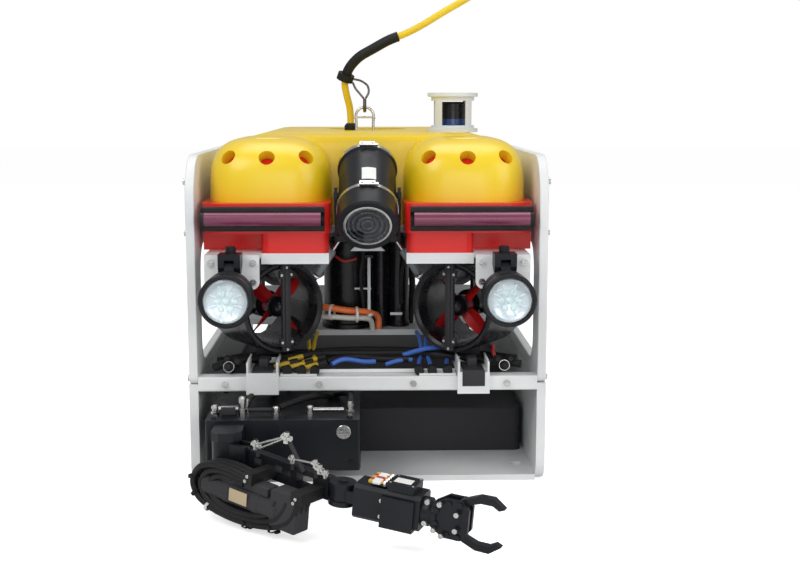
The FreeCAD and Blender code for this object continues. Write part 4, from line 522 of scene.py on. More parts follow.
@dataclass
class Fasteners:
    """Identical screws or bolts on one body, set on points by a Geometry Nodes tree."""

    name: str
    body: str
    finish: Finish
    radius: float = 0.0045
    height: float = 0.003
    head: Head = Head.HEX
    socket: float = 0.45
    spots: list[tuple[Vector, Vector]] = field(default_factory=list)

    def add(self, where: Sequence[float], outward: Sequence[float], place: Matrix | None = None) -> None:
        """Record one screw.

        Args:
            where: Point on the surface.
            outward: Direction the head faces.
            place: Frame of both, where that isn't the object's own.
        """
        spot, way = Vector(where), Vector(outward)
        if place is not None:
            spot, way = place @ spot, place.to_3x3() @ way
        self.spots.append((spot, way.normalized()))

    def tree(self) -> bpy.types.NodeTree:
        """Build the node tree: small faces in, turned heads on them out.

        Returns:
            The tree, with inputs for head radius, height, side count and recess.
        """
        tree = bpy.data.node_groups.new(self.name + "_heads", "GeometryNodeTree")
        face = tree.interface
        face.new_socket("Points", in_out="INPUT", socket_type="NodeSocketGeometry")
        for label, kind in (("Head Radius", "NodeSocketFloat"), ("Head Height", "NodeSocketFloat"),
                            ("Sides", "NodeSocketInt"), ("Recess", "NodeSocketFloat")):
            face.new_socket(label, in_out="INPUT", socket_type=kind)
        face.new_socket("Heads", in_out="OUTPUT", socket_type="NodeSocketGeometry")
        nodes, links = tree.nodes, tree.links
        given = nodes.new("NodeGroupInput")
        out = nodes.new("NodeGroupOutput")
        points, rotation = self._seats(nodes, links, given.outputs["Points"])
        place = nodes.new("GeometryNodeInstanceOnPoints")
        links.new(points, place.inputs["Points"])
        links.new(self._head(nodes, links, given), place.inputs["Instance"])
        links.new(rotation, place.inputs["Rotation"])
        real = nodes.new("GeometryNodeRealizeInstances")
        links.new(place.outputs["Instances"], real.inputs["Geometry"])
        paint = nodes.new("GeometryNodeSetMaterial")
        paint.inputs["Material"].default_value = self.finish.material()
        links.new(real.outputs["Geometry"], paint.inputs["Geometry"])
        links.new(paint.outputs["Geometry"], out.inputs["Heads"])
        return tree

    @staticmethod
    def _seats(nodes: bpy.types.Nodes, links: bpy.types.NodeLinks,
               spots: bpy.types.NodeSocket) -> tuple[bpy.types.NodeSocket, bpy.types.NodeSocket]:
        """Find where each head sits and how it is turned.

        Args:
            nodes: The tree's nodes.
            links: The tree's links.
            spots: Small faces, one under each head.

        Returns:
            The points, and the rotation out of each face with a random turn of fixed seed.
        """
        normal = nodes.new("GeometryNodeInputNormal")
        hold = nodes.new("GeometryNodeCaptureAttribute")
        hold.domain = "FACE"
        hold.capture_items.new("VECTOR", "Outward")
        links.new(spots, hold.inputs["Geometry"])
        links.new(normal.outputs["Normal"], hold.inputs["Outward"])
        dots = nodes.new("GeometryNodeMeshToPoints")
        dots.mode = "FACES"
        links.new(hold.outputs["Geometry"], dots.inputs["Mesh"])
        align = nodes.new("FunctionNodeAlignEulerToVector")
        align.axis = "Z"
        links.new(hold.outputs["Outward"], align.inputs["Vector"])
        angle = nodes.new("FunctionNodeRandomValue")
        angle.data_type = "FLOAT"
        angle.inputs[RANDOM_MAX].default_value = math.tau
        angle.inputs["Seed"].default_value = 7
        spin = nodes.new("FunctionNodeRotateEuler")
        spin.rotation_type = "AXIS_ANGLE"
        spin.space = "LOCAL"
        spin.inputs["Axis"].default_value = UPWARD
        links.new(angle.outputs[RANDOM_OUT], spin.inputs["Angle"])
        links.new(align.outputs["Rotation"], spin.inputs["Rotation"])
        return dots.outputs["Points"], spin.outputs["Rotation"]

    @staticmethod
    def _head(nodes: bpy.types.Nodes, links: bpy.types.NodeLinks, given: bpy.types.Node) -> bpy.types.NodeSocket:
        """Shape one head: a tapered drum with a hexagonal recess.

        Args:
            nodes: The tree's nodes.
            links: The tree's links.
            given: The tree's input node.

        Returns:
            The head's mesh.
        """

        def feed(value: float | bpy.types.NodeSocket, target: bpy.types.NodeSocket) -> None:
            """Link a socket to its target, or set a plain number there."""
            if isinstance(value, bpy.types.NodeSocket):
                links.new(value, target)
            else:
                target.default_value = value

        def times(first: bpy.types.NodeSocket, second: float | bpy.types.NodeSocket) -> bpy.types.NodeSocket:
            """Multiply two values and give the product."""
            product = nodes.new("ShaderNodeMath")
            product.operation = "MULTIPLY"
            feed(first, product.inputs[0])
            feed(second, product.inputs[1])
            return product.outputs[0]

        def cone(**values: float | bpy.types.NodeSocket) -> bpy.types.NodeSocket:
            """Make a cone whose inputs are named by the keywords, and give its mesh."""
            made = nodes.new("GeometryNodeMeshCone")
            for label, value in values.items():
                feed(value, made.inputs[label.replace("_", " ")])
            return made.outputs["Mesh"]

        radius, height = given.outputs["Head Radius"], given.outputs["Head Height"]
        head = cone(Vertices=given.outputs["Sides"], Radius_Top=times(radius, 0.88), Radius_Bottom=radius,
                    Depth=height)
        recess = times(radius, given.outputs["Recess"])
        hexagon = cone(Vertices=Head.HEX.value, Radius_Top=recess, Radius_Bottom=times(recess, 0.9),
                       Depth=times(height, 0.5))
        lift = nodes.new("ShaderNodeCombineXYZ")
        feed(times(height, 0.62), lift.inputs["Z"])
        sink = nodes.new("GeometryNodeTransform")
        feed(hexagon, sink.inputs["Geometry"])
        feed(lift.outputs[0], sink.inputs["Translation"])
        cut = nodes.new("GeometryNodeMeshBoolean")
        cut.operation = "DIFFERENCE"
        feed(head, cut.inputs[0])
        feed(sink.outputs["Geometry"], cut.inputs[1])
        return cut.outputs["Mesh"]

    def build(self) -> bpy.types.Object:
        """Set the heads on their points as one plain mesh.

        Returns:
            The piece.
        """
        bm = bmesh.new()
        for where, outward in self.spots:
            side = outward.orthogonal().normalized() * 1e-5
            over = outward.cross(side)
            bm.faces.new([bm.verts.new(where + a * side + b * over) for a, b in ((-1, -1), (1, -1), (1, 1), (-1, 1))])
        bm.normal_update()
        patches = bpy.data.meshes.new(self.name + "_spots")
        bm.to_mesh(patches)
        bm.free()
        carrier = link_piece(self.name + "_carrier", patches, None)
        tree = self.tree()
        rule = carrier.modifiers.new("heads", "NODES")
        rule.node_group = tree
        given = {"Head Radius": self.radius, "Head Height": self.height, "Sides": self.head.value,
                 "Recess": self.socket}
        for item in tree.interface.items_tree:
            if item.in_out == "INPUT" and item.name in given:
                rule[item.identifier] = given[item.name]
        return bake(carrier, self.name, self.body, 30.0)


def bake(carrier: bpy.types.Object, name: str, body: str, smooth: float) -> bpy.types.Object:
    """Turn a carrier with live modifiers into a plain piece that rides on a body.

    Args:
        carrier: Object whose modifiers give the form; it is removed.
        name: The piece's name.
        body: The body that it rides on.
        smooth: Angle in degrees under which edges are shaded smooth.

    Returns:
        The piece.
    """
    graph = bpy.context.evaluated_depsgraph_get()
    mesh = bpy.data.meshes.new_from_object(carrier.evaluated_get(graph))
    mesh.name = name
    bpy.data.objects.remove(carrier)
    bm = bmesh.new()
    bm.from_mesh(mesh)
    shade(bm, smooth)
    bm.to_mesh(mesh)
    bm.free()
    return link_piece(name, mesh, body)


# ------------------------------------------------------------------ studio
@dataclass
class Studio:
    """Camera, floor, world and soft lamps."""

    eye: Point = (0.0, -2.540, 0.637)
    pitch: float = 8.44
    yaw: float = 1.5
    lens: float = 55.8
    target: Point = (0.0, -0.1, 0.35)
    world_light: float = 0.42
    floor_light: float = 0.62
    floor_low: tuple[float, float] = (-14.0, -9.0)
    floor_high: tuple[float, float] = (14.0, 16.0)
    lamps: tuple[tuple[str, Point, float, float], ...] = (
        ("key", (-1.5, -2.2, 2.5), 1.6, 34.0), ("fill", (2.1, -1.9, 1.5), 1.8, 20.0),
        ("top", (0.1, 0.2, 2.9), 2.0, 30.0), ("front", (0.2, -3.0, 0.9), 1.2, 9.0))

    def build(self) -> None:
        """Make the camera first, then the floor and the lamps."""
        bpy.context.scene.view_settings.view_transform = "Standard"
        self._camera()
        self._world()
        self._floor()
        for name, where, size, power in self.lamps:
            self._lamp(name, where, size, power)
        log.info("studio: %d lamps", len(self.lamps))

    def _camera(self) -> None:
        """Camera at the view's height and lens."""
        data = bpy.data.cameras.new("view")
        data.lens = self.lens
        data.sensor_width = 36.0
        data.clip_end = 60.0
        camera = bpy.data.objects.new("view", data)
        camera.location = self.eye
        camera.rotation_euler = (math.radians(90 - self.pitch), 0.0, math.radians(-self.yaw))
        bpy.context.collection.objects.link(camera)
        bpy.context.scene.camera = camera

    def _world(self) -> None:
        """Even pale light, and plain white where the camera or glass sees past the floor."""
        world = bpy.data.worlds.new("studio")
        bpy.context.scene.world = world
        world.use_nodes = True
        nodes, links = world.node_tree.nodes, world.node_tree.links
        back = nodes["Background"]
        back.inputs["Color"].default_value = WHITE
        path = nodes.new("ShaderNodeLightPath")
        seen = nodes.new("ShaderNodeMath")
        seen.operation = "MAXIMUM"
        links.new(path.outputs["Is Camera Ray"], seen.inputs[0])
        links.new(path.outputs["Is Transmission Ray"], seen.inputs[1])
        level = nodes.new("ShaderNodeMapRange")
        level.inputs["To Min"].default_value = self.world_light
        level.inputs["To Max"].default_value = 1.0
        links.new(seen.outputs[0], level.inputs["Value"])
        links.new(level.outputs["Result"], back.inputs["Strength"])

    def _floor(self) -> None:
        """Plain pale floor that keeps the object's shadow."""
        bm = bmesh.new()
        (left, near), (right, far) = self.floor_low, self.floor_high
        bm.faces.new([bm.verts.new((x, y, 0.0)) for x, y in ((left, near), (right, near), (right, far), (left, far))])
        mesh = bpy.data.meshes.new("studio_floor")
        bm.to_mesh(mesh)
        bm.free()
        made = bpy.data.materials.new("studio_floor")
        made.use_nodes = True
        nodes, links = made.node_tree.nodes, made.node_tree.links
        shader = nodes["Principled BSDF"]
        shader.inputs["Base Color"].default_value = (0.86, 0.86, 0.86, 1.0)
        shader.inputs["Roughness"].default_value = 0.9
        shader.inputs["Emission Color"].default_value = WHITE
        path = nodes.new("ShaderNodeLightPath")
        seen = nodes.new("ShaderNodeMath")
        seen.operation = "MULTIPLY"
        seen.inputs[1].default_value = self.floor_light
        links.new(path.outputs["Is Camera Ray"], seen.inputs[0])
        links.new(seen.outputs[0], shader.inputs["Emission Strength"])
        mesh.materials.append(made)
        link_piece("studio_floor", mesh, None)

    def _lamp(self, name: str, where: Point, size: float, power: float) -> None:
        """Soft square lamp aimed at the middle of the object.

        Args:
            name: Lamp name.
            where: Its place.
            size: Side length.
            power: Watts.
        """
        data = bpy.data.lights.new(name, "AREA")
        data.shape = "SQUARE"
        data.size = size
        data.energy = power
        lamp = bpy.data.objects.new(name, data)
        lamp.location = where
        lamp.rotation_euler = (Vector(self.target) - Vector(where)).to_track_quat("-Z", "Y").to_euler()
        bpy.context.collection.objects.link(lamp)


# ------------------------------------------------------------------ tether
@dataclass
class Tether:
    """Yellow lift tether held taut from above; its sleeve, end fitting and strop stay as model.glb has them."""

    radius: float = 0.007
    length: float = 0.4239
    route: tuple[Point, ...] = (
        (-0.034, 0.036, 0.600), (-0.034, 0.036, 0.628), (-0.042, 0.030, 0.656), (-0.047, 0.022, 0.684),
        (-0.037, 0.014, 0.712), (-0.016, 0.008, 0.734), (0.012, 0.005, 0.749), (0.044, 0.003, 0.767),
        (0.079, 0.002, 0.779), (0.117, 0.001, 0.799), (0.154, 0.0, 0.822), (0.192, -0.001, 0.843),
        (0.227, -0.001, 0.864))

    def build(self) -> None:
        line = nurbs("tether_line", self.route, self.radius, JACKET, "chassis")
        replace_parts(line, "tether")
        log.info("tether: %d route points", len(self.route))


def cutter(name: str, bm: bmesh.types.BMesh) -> bpy.types.Object:
    """Turn a bmesh into a hidden cutter object."""
    bmesh.ops.recalc_face_normals(bm, faces=bm.faces)
    mesh = bpy.data.meshes.new(name)
    bm.to_mesh(mesh)
    bm.free()
    return link_piece(name, mesh, None)


def carve(name: str, bm: bmesh.types.BMesh, steps: Sequence[tuple[str, bmesh.types.BMesh]], finish: Finish,
          body: str, smooth: float = 35.0) -> bpy.types.Object:
    """Join and cut a form with boolean steps, then bake it as a piece.

    Args:
        name: The piece's name.
        bm: The starting form.
        steps: Pairs of boolean operation and form.
        finish: Its finish.
        body: The body that it rides on.
        smooth: Angle in degrees under which edges are shaded smooth.

    Returns:
        The piece.
    """
    carrier = cutter(name + "_carrier", bm)
    carrier.data.materials.append(finish.material())
    tools = []
    for index, (kind, form) in enumerate(steps):
        tool = cutter(f"{name}_tool{index}", form)
        tools.append(tool)
        rule = carrier.modifiers.new(f"step{index}", "BOOLEAN")
        rule.operation = kind
        rule.object = tool
        rule.solver = "EXACT"
    piece = bake(carrier, name, body, smooth)
    for tool in tools:
        bpy.data.objects.remove(tool)
    piece.data.materials.clear()
    piece.data.materials.append(finish.material())
    return piece


# ------------------------------------------------------------------ float
@dataclass
class Float:
    """Yellow float: crowned slab with two helmet-like lobes and their red-floored holes."""

    half: float = 0.270
    low: float = 0.426
    step_low: float = 0.476
    top: float = 0.586
    front: float = -0.345
    back: float = 0.470
    round: float = 0.088
    lobe_x: float = 0.168
    lobe_half: float = 0.105
    lobe_tall: float = 0.107
    lobe_root: float = -0.325
    lobe_long: float = 0.145
    fullness: float = 3.6
    hole_radius: float = 0.0135
    hole_turns: tuple[tuple[float, float], ...] = ((129.0, 0.811), (90.0, 0.700), (51.0, 0.811))
    wells: tuple[tuple[float, float, float], ...] = (
        (0.0, 0.180, 0.084), (-0.022, 0.0, 0.0036), (0.012, 0.0, 0.0036))

    def build(self) -> None:
        """Make the moulding and the discs in its holes."""
        steps = [("UNION", self._lobe(side)) for side in (-1, 1)]
        for x, y, radius in self.wells:
            well = bmesh.new()
            lathe(well, [(0, 0.40), (radius, 0.40), (radius, 0.62), (0, 0.62)], 56, move(x, y, 0))
            steps.append(("DIFFERENCE", well))
        for spot in self._holes():
            hole = bmesh.new()
            lathe(hole, [(0, -0.024), (self.hole_radius, -0.024), (self.hole_radius, 0.03), (0, 0.03)], 32, spot)
            steps.append(("DIFFERENCE", hole))
        for side in (-1, 1):
            dent = bmesh.new()
            lathe(dent, [(0, -0.006)] + [(math.cos(a), 0.006 * math.sin(a)) for a in
                                        (math.radians(d) for d in range(-75, 90, 15))] + [(0, 0.006)], 40,
                  move(self.lobe_x * side, -0.398, self.step_low + self.lobe_tall + 0.001)
                  @ Matrix.Diagonal((0.036, 0.012, 1.0, 1.0)))
            steps.append(("DIFFERENCE", dent))
        moulding = carve("float_moulding", self._slab(), steps, GEL_YELLOW, "chassis", 32)
        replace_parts(moulding, "float")
        discs = bmesh.new()
        for spot in self._holes():
            lathe(discs, [(0, -0.0235), (self.hole_radius - 0.0002, -0.0235), (self.hole_radius - 0.0002, -0.0205),
                          (self.hole_radius * 0.8, -0.0195), (0, -0.0190)], 28, spot)
        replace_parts(finish_mesh("hole_discs", discs, BUMPER_RED, "chassis"), "hole_liners")
        log.info("float: %d faces", len(moulding.data.polygons))

    def _slab(self) -> bmesh.types.BMesh:
        """Loft the slab with its rounded shoulders and softened ends.

        Returns:
            The closed form.
        """
        bm = bmesh.new()
        arc = 9
        outline = [(-self.half, self.low), (-self.half, self.top - self.round)]
        for k in range(1, arc + 1):
            angle = math.radians(90 * k / arc)
            outline.append((-self.half + self.round * (1 - math.cos(angle)),
                            self.top - self.round + self.round * math.sin(angle) - 0.0006 * (arc - k) / arc))
        outline += [(-0.09, self.top), (0.09, self.top)]
        outline += [(-x, z) for x, z in reversed(outline[:-2])]
        stations = [(self.front, 0.012), (self.front + 0.004, 0.004), (self.front + 0.016, 0.0),
                    (self.back - 0.034, 0.0), (self.back - 0.018, 0.004), (self.back - 0.006, 0.014),
                    (self.back, 0.030)]
        rings = []
        for y, shrink in stations:
            ring = []
            for x, z in outline:
                grow = 1 - shrink / self.half
                lift = max(0.0, (z - self.low) / (self.top - self.low))
                ring.append(bm.verts.new((x * (1 - (1 - grow) * (0.4 + 0.6 * lift)), y,
                                          self.low + (z - self.low) * (1 - shrink / (self.top - self.low) * lift))))
            rings.append(ring)
        join_rings(bm, rings)
        return bm

    def _section(self, angle: float) -> tuple[float, float]:
        """Point of a lobe's full cross-section at an angle."""
        power = 2 / self.fullness
        x = math.copysign(abs(math.cos(angle)) ** power, math.cos(angle))
        return x * self.lobe_half, abs(math.sin(angle)) ** power * self.lobe_tall

    def _share(self, y: float) -> float:
        """How much of its full section a lobe has at a depth."""
        ahead = min(1.0, max(0.0, (self.lobe_root - y) / self.lobe_long))
        return max(0.0, 1 - ahead ** self.fullness) ** (1 / self.fullness)

    def _lobe(self, side: int) -> bmesh.types.BMesh:
        """Helmet-like lobe, lofted from its nose to inside the slab.

        Args:
            side: -1 for the left, 1 for the right.

        Returns:
            The closed form.
        """
        bm = bmesh.new()
        steps = 44
        turns = [math.pi * k / steps for k in range(steps + 1)]
        depths = [self.lobe_root - self.lobe_long * math.sin(math.pi / 2 * k / 26) for k in range(25, 0, -1)]
        depths += [self.lobe_root, self.lobe_root + 0.05]
        rings = []
        for y in depths:
            share = self._share(y)
            rings.append([bm.verts.new((self.lobe_x * side + x * share, y, self.step_low + z * share))
                          for x, z in (self._section(t) for t in turns)])
        join_rings(bm, rings)
        return bm

    def _holes(self) -> list[Matrix]:
        """Frames of the lobes' holes, each standing on the surface."""
        spots = []
        for side in (-1, 1):
            for turn_deg, share in self.hole_turns:
                x, z = self._section(math.radians(turn_deg))
                ahead = (1 - share ** self.fullness) ** (1 / self.fullness)
                where = Vector((self.lobe_x * side + x * share, self.lobe_root - self.lobe_long * ahead,
                                self.step_low + z * share))
                outward = Vector((0.75 * math.cos(math.radians(turn_deg)), -0.72, 0.62))
                spots.append(frame_along(where, outward.normalized()))
        return spots


# ------------------------------------------------------------------ lamps
@dataclass
class LampFace:
    """Glass, bright bowl with a painted glow, and light chips in a lamp's mouth, in the lamp's own frame."""

    side: int
    floor: float = 0.051
    rim: float = 0.060
    barrel: float = 0.0398

    def build(self) -> None:
        """Make the bowl, the chips and the glass."""
        tag = side_tag(self.side)
        body = "lamp_" + tag
        place = lamp_frame(self.side)
        bowl = bmesh.new()
        lathe(bowl, [(0.0, self.floor + 0.0004), (0.010, self.floor + 0.0005), (0.012, self.floor + 0.0012),
                     (0.020, self.floor + 0.0026), (0.027, self.floor + 0.0050), (0.032, self.floor + 0.0082),
                     (0.0338, self.floor + 0.0084), (0.0336, self.floor + 0.0002), (0, self.floor + 0.0001)],
              56, place)
        for k in range(8):
            slab(bowl, (0.0135, -0.0011, self.floor + 0.001), (0.0265, 0.0011, self.floor + 0.0056), 0.0004,
                 place @ turn("Z", 45 * k + 22.5))
        # The bowl's finish carries a painted glow, a painted reflection of the lamp's light.
        finish_mesh(f"lamp_bowl_painted_glow_{tag}", bowl, LAMP_BOWL_PAINTED_GLOW, body)
        chips = bmesh.new()
        for k in range(7):
            spot = place if k == 6 else place @ turn("Z", 60 * k) @ move(0.0135)
            lathe(chips, [(0, self.floor + 0.0008), (0.0052, self.floor + 0.0010), (0.0050, self.floor + 0.0030),
                          (0.0036, self.floor + 0.0044), (0.0016, self.floor + 0.0050), (0, self.floor + 0.0051)],
                  18, spot)
        finish_mesh(f"lamp_chips_{tag}", chips, LAMP_CHIP, body)
        glass = bmesh.new()
        lathe(glass, [(0.0, self.rim - 0.0004), (0.020, self.rim - 0.0012), (0.0335, self.rim - 0.0012),
                      (0.0362, self.rim - 0.0008), (0.0340, self.rim + 0.0012), (0.0255, self.rim + 0.0030),
                      (0.0130, self.rim + 0.0044), (0.0, self.rim + 0.0047)], 64, place)
        cover = finish_mesh(f"lamp_glass_{tag}", glass, GLASS, body)
        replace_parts(cover, f"lamp_lens_{tag}")
        cover.visible_shadow = False
        rings = bmesh.new()
        for level in (0.012, 0.019, 0.026):
            lathe(rings, [(self.barrel, level), (self.barrel + 0.0008, level + 0.0008),
                          (self.barrel + 0.0008, level + 0.0030), (self.barrel, level + 0.0038)], 56, place)
        finish_mesh(f"lamp_cooling_rings_{tag}", rings, ANODISED, body)
        log.info("lamp %s dressed", tag)


# ------------------------------------------------------------------ camera
@dataclass
class CameraPort:
    """Glass port, lens barrel, bright rings, clamp bands and blank plate of the camera, in its own frame."""

    half: float = 0.084
    floor: float = 0.0751
    band_places: tuple[float, ...] = (-0.0745, 0.0375)
    plate_levels: tuple[float, float] = (0.0485, 0.0491)
    plate_ends: tuple[float, float] = (-0.0130, 0.0190)

    def build(self) -> None:
        """Make the port's pieces and the plate on the barrel."""
        self._rings()
        self._eye()
        self._glass()
        self._plate()
        self._bands()
        self._cone_and_tail()
        log.info("camera: %d bands", len(self.band_places))

    def _rings(self) -> None:
        """Bright ring round the glass, and the stepped rings of the lens behind it."""
        ring = bmesh.new()
        hoop(ring, [(0.0372, self.half - 0.0085), (0.0392, self.half - 0.0085), (0.0398, self.half),
                    (0.0386, self.half + 0.0006), (0.0362, self.half + 0.0002), (0.0352, self.half - 0.0040)],
             72, CAMERA_FRAME)
        finish_mesh("camera_chrome_ring", ring, STEEL, "camera")
        barrel = bmesh.new()
        low = self.floor + 0.0002
        for inner, outer, tall in ((0.0300, 0.0340, 0.0052), (0.0220, 0.0262, 0.0044), (0.0130, 0.0178, 0.0058),
                                   (0.0066, 0.0100, 0.0050)):
            high = self.floor + tall
            hoop(barrel, [(inner, low), (outer, low), (outer, high), (outer - 0.0008, high + 0.0006),
                          (inner + 0.0004, high)], 56, CAMERA_FRAME)
        finish_mesh("camera_lens_rings", barrel, LENS_RING, "camera")

    def _eye(self) -> None:
        """Front lens, with six small lights round it."""
        eye = bmesh.new()
        floor = self.floor
        lathe(eye, [(0, floor + 0.0002), (0.0064, floor + 0.0002), (0.0060, floor + 0.0024),
                    (0.0036, floor + 0.0040), (0, floor + 0.0044)], 36, CAMERA_FRAME)
        for k in range(6):
            lathe(eye, [(0, floor + 0.0002), (0.0017, floor + 0.0003), (0.0015, floor + 0.0022), (0, floor + 0.0028)],
                  14, CAMERA_FRAME @ turn("Z", 60 * k + 15) @ move(0.0282))
        finish_mesh("camera_eye", eye, LENS_EYE, "camera")

    def _glass(self) -> None:
        """Shallow dished glass in place of the plain lens."""
        glass = bmesh.new()
        lathe(glass, [(0.0, self.half - 0.0014), (0.020, self.half - 0.0016), (0.0366, self.half - 0.0028),
                      (0.0368, self.half - 0.0012), (0.020, self.half - 0.0002), (0.0, self.half)],
              64, CAMERA_FRAME)
        port = finish_mesh("camera_port_glass", glass, PORT_GLASS, "camera")
        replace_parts(port, "camera_lens")
        port.visible_shadow = False

    def _plate(self) -> None:
        """Thin blank plate bent round the top of the barrel."""
        plate = bmesh.new()
        arc = 9
        angles = [math.radians(-11 + 28 * k / arc) for k in range(arc + 1)]
        low_a, low_b, top_a, top_b = (
            [plate.verts.new(CAMERA_FRAME @ Vector((level * math.sin(a), level * math.cos(a), along)))
             for a in angles]
            for level in self.plate_levels for along in self.plate_ends)
        join_rings(plate, [list(section) for section in zip(low_a, low_b, top_b, top_a)])
        finish_mesh("camera_blank_plate", plate, PLATE_BLANK, "camera")

    def _bands(self) -> None:
        """Clamp bands round the barrel, each with its lug and two screws."""
        screws = Fasteners("camera_band_screws", "camera", STEEL, 0.0022, 0.0016, Head.PAN)
        bands = bmesh.new()
        for along in self.band_places:
            hoop(bands, [(0.0500, along - 0.0035), (0.0519, along - 0.0035), (0.0519, along + 0.0035),
                         (0.0500, along + 0.0035)], 64, CAMERA_FRAME)
            slab(bands, (-0.0135, 0.0512, along - 0.0055), (0.0135, 0.0556, along + 0.0055), 0.0010, CAMERA_FRAME)
            slab(bands, (0.0120, 0.0500, along - 0.0030), (0.0185, 0.0535, along + 0.0030), 0.0008, CAMERA_FRAME)
            for across in (-0.009, 0.009):
                screws.add((across, 0.0556, along), (0, 1, 0), CAMERA_FRAME)
        screws.build()
        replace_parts(finish_mesh("camera_clamp_bands", bands, STEEL, "camera"), "camera_bands")

    def _cone_and_tail(self) -> None:
        """Metal cone between the glass and the lens, and the plug at the back."""
        cone = bmesh.new()
        hoop(cone, [(0.0366, self.half - 0.0045), (0.0368, self.half - 0.0086), (0.0312, self.floor + 0.0002),
                    (0.0302, self.floor + 0.0014)], 64, CAMERA_FRAME)
        finish_mesh("camera_inner_cone", cone, CONE_METAL, "camera")
        tail = bmesh.new()
        lathe(tail, [(0, -self.half - 0.0002), (0.011, -self.half - 0.0002), (0.011, -self.half - 0.006),
                     (0.0085, -self.half - 0.008), (0.0085, -self.half - 0.014), (0.005, -self.half - 0.017),
                     (0, -self.half - 0.017)], 32, CAMERA_FRAME)
        finish_mesh("camera_tail_connector", tail, RUBBER, "camera")


# ------------------------------------------------------------------ centre bay
@dataclass
class CentreBay:
    """Hoses, rod, clips and struts round the standing pods."""

    hose_low: float = 0.236
    hose_high: float = 0.415
    rod_place: tuple[float, float] = (0.002, -0.342)

    def build(self) -> None:
        """Make the pieces of the bay."""
        self._struts()
        self._rod()
        self._hoses()
        self._front_bracket()
        log.info("centre bay dressed")

    def _struts(self) -> None:
        """Two slim gas-spring struts in place of the plain bars."""
        bodies, rods = bmesh.new(), bmesh.new()
        for side in (-1, 1):
            high = Vector((0.044 * side, -0.392, 0.412))
            low = Vector((0.092 * side, -0.388, 0.340))
            along = frame_along(low, high - low)
            size = (high - low).length
            lathe(bodies, [(0, 0.006), (0.0068, 0.006), (0.0074, 0.009), (0.0074, size * 0.62), (0.0060, size * 0.66),
                           (0, size * 0.66)], 28, along)
            lathe(rods, [(0, size * 0.60), (0.0032, size * 0.60), (0.0032, size - 0.004), (0, size - 0.004)], 20,
                  along)
            for at in (0.0, size):
                lathe(rods, [(0, -0.0055), (0.0058, -0.0055), (0.0064, -0.003), (0.0064, 0.003), (0.0058, 0.0055),
                             (0, 0.0055)], 22, along @ move(0, 0, at) @ turn("X", 90))
        main_piece = finish_mesh("strut_tubes", bodies, GREY_PAINT, "chassis")
        finish_mesh("strut_rods", rods, STEEL, "chassis")
        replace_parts(main_piece, "struts")

    def _rod(self) -> None:
        """Slim white guide rod with its cross clips in front of the main pod."""
        rod = bmesh.new()
        x, y = self.rod_place
        lathe(rod, [(0, 0.268), (0.0030, 0.268), (0.0030, 0.366), (0.0018, 0.368), (0, 0.368)], 18, move(x, y, 0))
        lathe(rod, [(0, 0.262), (0.0066, 0.262), (0.0072, 0.265), (0.0050, 0.270), (0, 0.270)], 20, move(x, y, 0))
        slab(rod, (x - 0.026, y - 0.002, 0.3105), (x + 0.004, y + 0.002, 0.3135), 0.0007)
        slab(rod, (x - 0.017, y - 0.003, 0.3085), (x - 0.011, y + 0.003, 0.3155), 0.0008)
        slab(rod, (0.040, y + 0.016, 0.2605), (0.062, y + 0.020, 0.2655), 0.0012)
        finish_mesh("pod_guide_rod", rod, ACETAL, "chassis")
        clip = bmesh.new()
        slab(clip, (x - 0.010, y + 0.002, 0.258), (x + 0.010, y + 0.012, 0.262), 0.001)
        slab(clip, (x - 0.008, y + 0.001, 0.366), (x + 0.008, y + 0.013, 0.372), 0.001)
        finish_mesh("pod_rod_clips", clip, BLOCK_BLACK, "chassis")

    def _hoses(self) -> None:
        """Black loom hoses that fill the gaps between the pods, with a red and a white lead."""
        low, high = self.hose_low, self.hose_high
        looms = (
            ("a", ((0.010, -0.262, low), (0.012, -0.258, 0.30), (0.006, -0.256, 0.36), (0.012, -0.262, high)),
             0.0085, RUBBER),
            ("b", ((0.041, -0.258, low), (0.039, -0.256, 0.29), (0.040, -0.254, 0.35), (0.041, -0.258, high)),
             0.0070, RUBBER),
            ("c", ((-0.004, -0.250, low), (0.000, -0.246, 0.30), (-0.003, -0.248, 0.35), (-0.002, -0.250, high)),
             0.0080, RUBBER),
            ("d", ((0.024, -0.248, low), (0.028, -0.244, 0.30), (0.022, -0.246, 0.36), (0.026, -0.250, high)),
             0.0085, RUBBER),
            ("e", ((0.078, -0.262, low), (0.084, -0.258, 0.29), (0.080, -0.256, 0.35), (0.074, -0.262, high)),
             0.0060, RUBBER),
            ("f", ((-0.060, -0.336, 0.372), (-0.050, -0.343, 0.364), (-0.038, -0.345, 0.360), (-0.020, -0.341, 0.366)),
             0.0024, LEAD_RED),
            ("g", ((0.064, -0.312, 0.400), (0.068, -0.322, 0.372), (0.058, -0.324, 0.330), (0.060, -0.316, 0.280)),
             0.0030, RUBBER),
            ("h", ((-0.012, -0.345, 0.412), (-0.006, -0.352, 0.380), (-0.014, -0.350, 0.340), (-0.010, -0.345, 0.30),
                   (-0.006, -0.340, 0.262)), 0.0032, RUBBER),
        )
        for tag, points, radius, finish in looms:
            hose(f"bay_hose_{tag}", points, radius, finish, "chassis")
        hose("white_hose", ((-0.112, -0.336, low), (-0.112, -0.336, 0.258), (-0.096, -0.350, 0.263),
                            (-0.064, -0.361, 0.264), (-0.034, -0.364, 0.262), (-0.008, -0.360, 0.262),
                            (0.008, -0.345, 0.256), (0.008, -0.336, low)), 0.0048, HOSE_WHITE, "chassis")
        ties = bmesh.new()
        for where, along in (((-0.064, -0.3555, 0.2715), (1, -0.3, 0)), ((-0.020, -0.3575, 0.2675), (1, 0.1, 0))):
            hoop(ties, [(0.0130, -0.002), (0.0142, -0.002), (0.0142, 0.002), (0.0130, 0.002)], 28,
                 frame_along(where, along))
        finish_mesh("hose_ties", ties, PLATE_BLANK, "chassis")

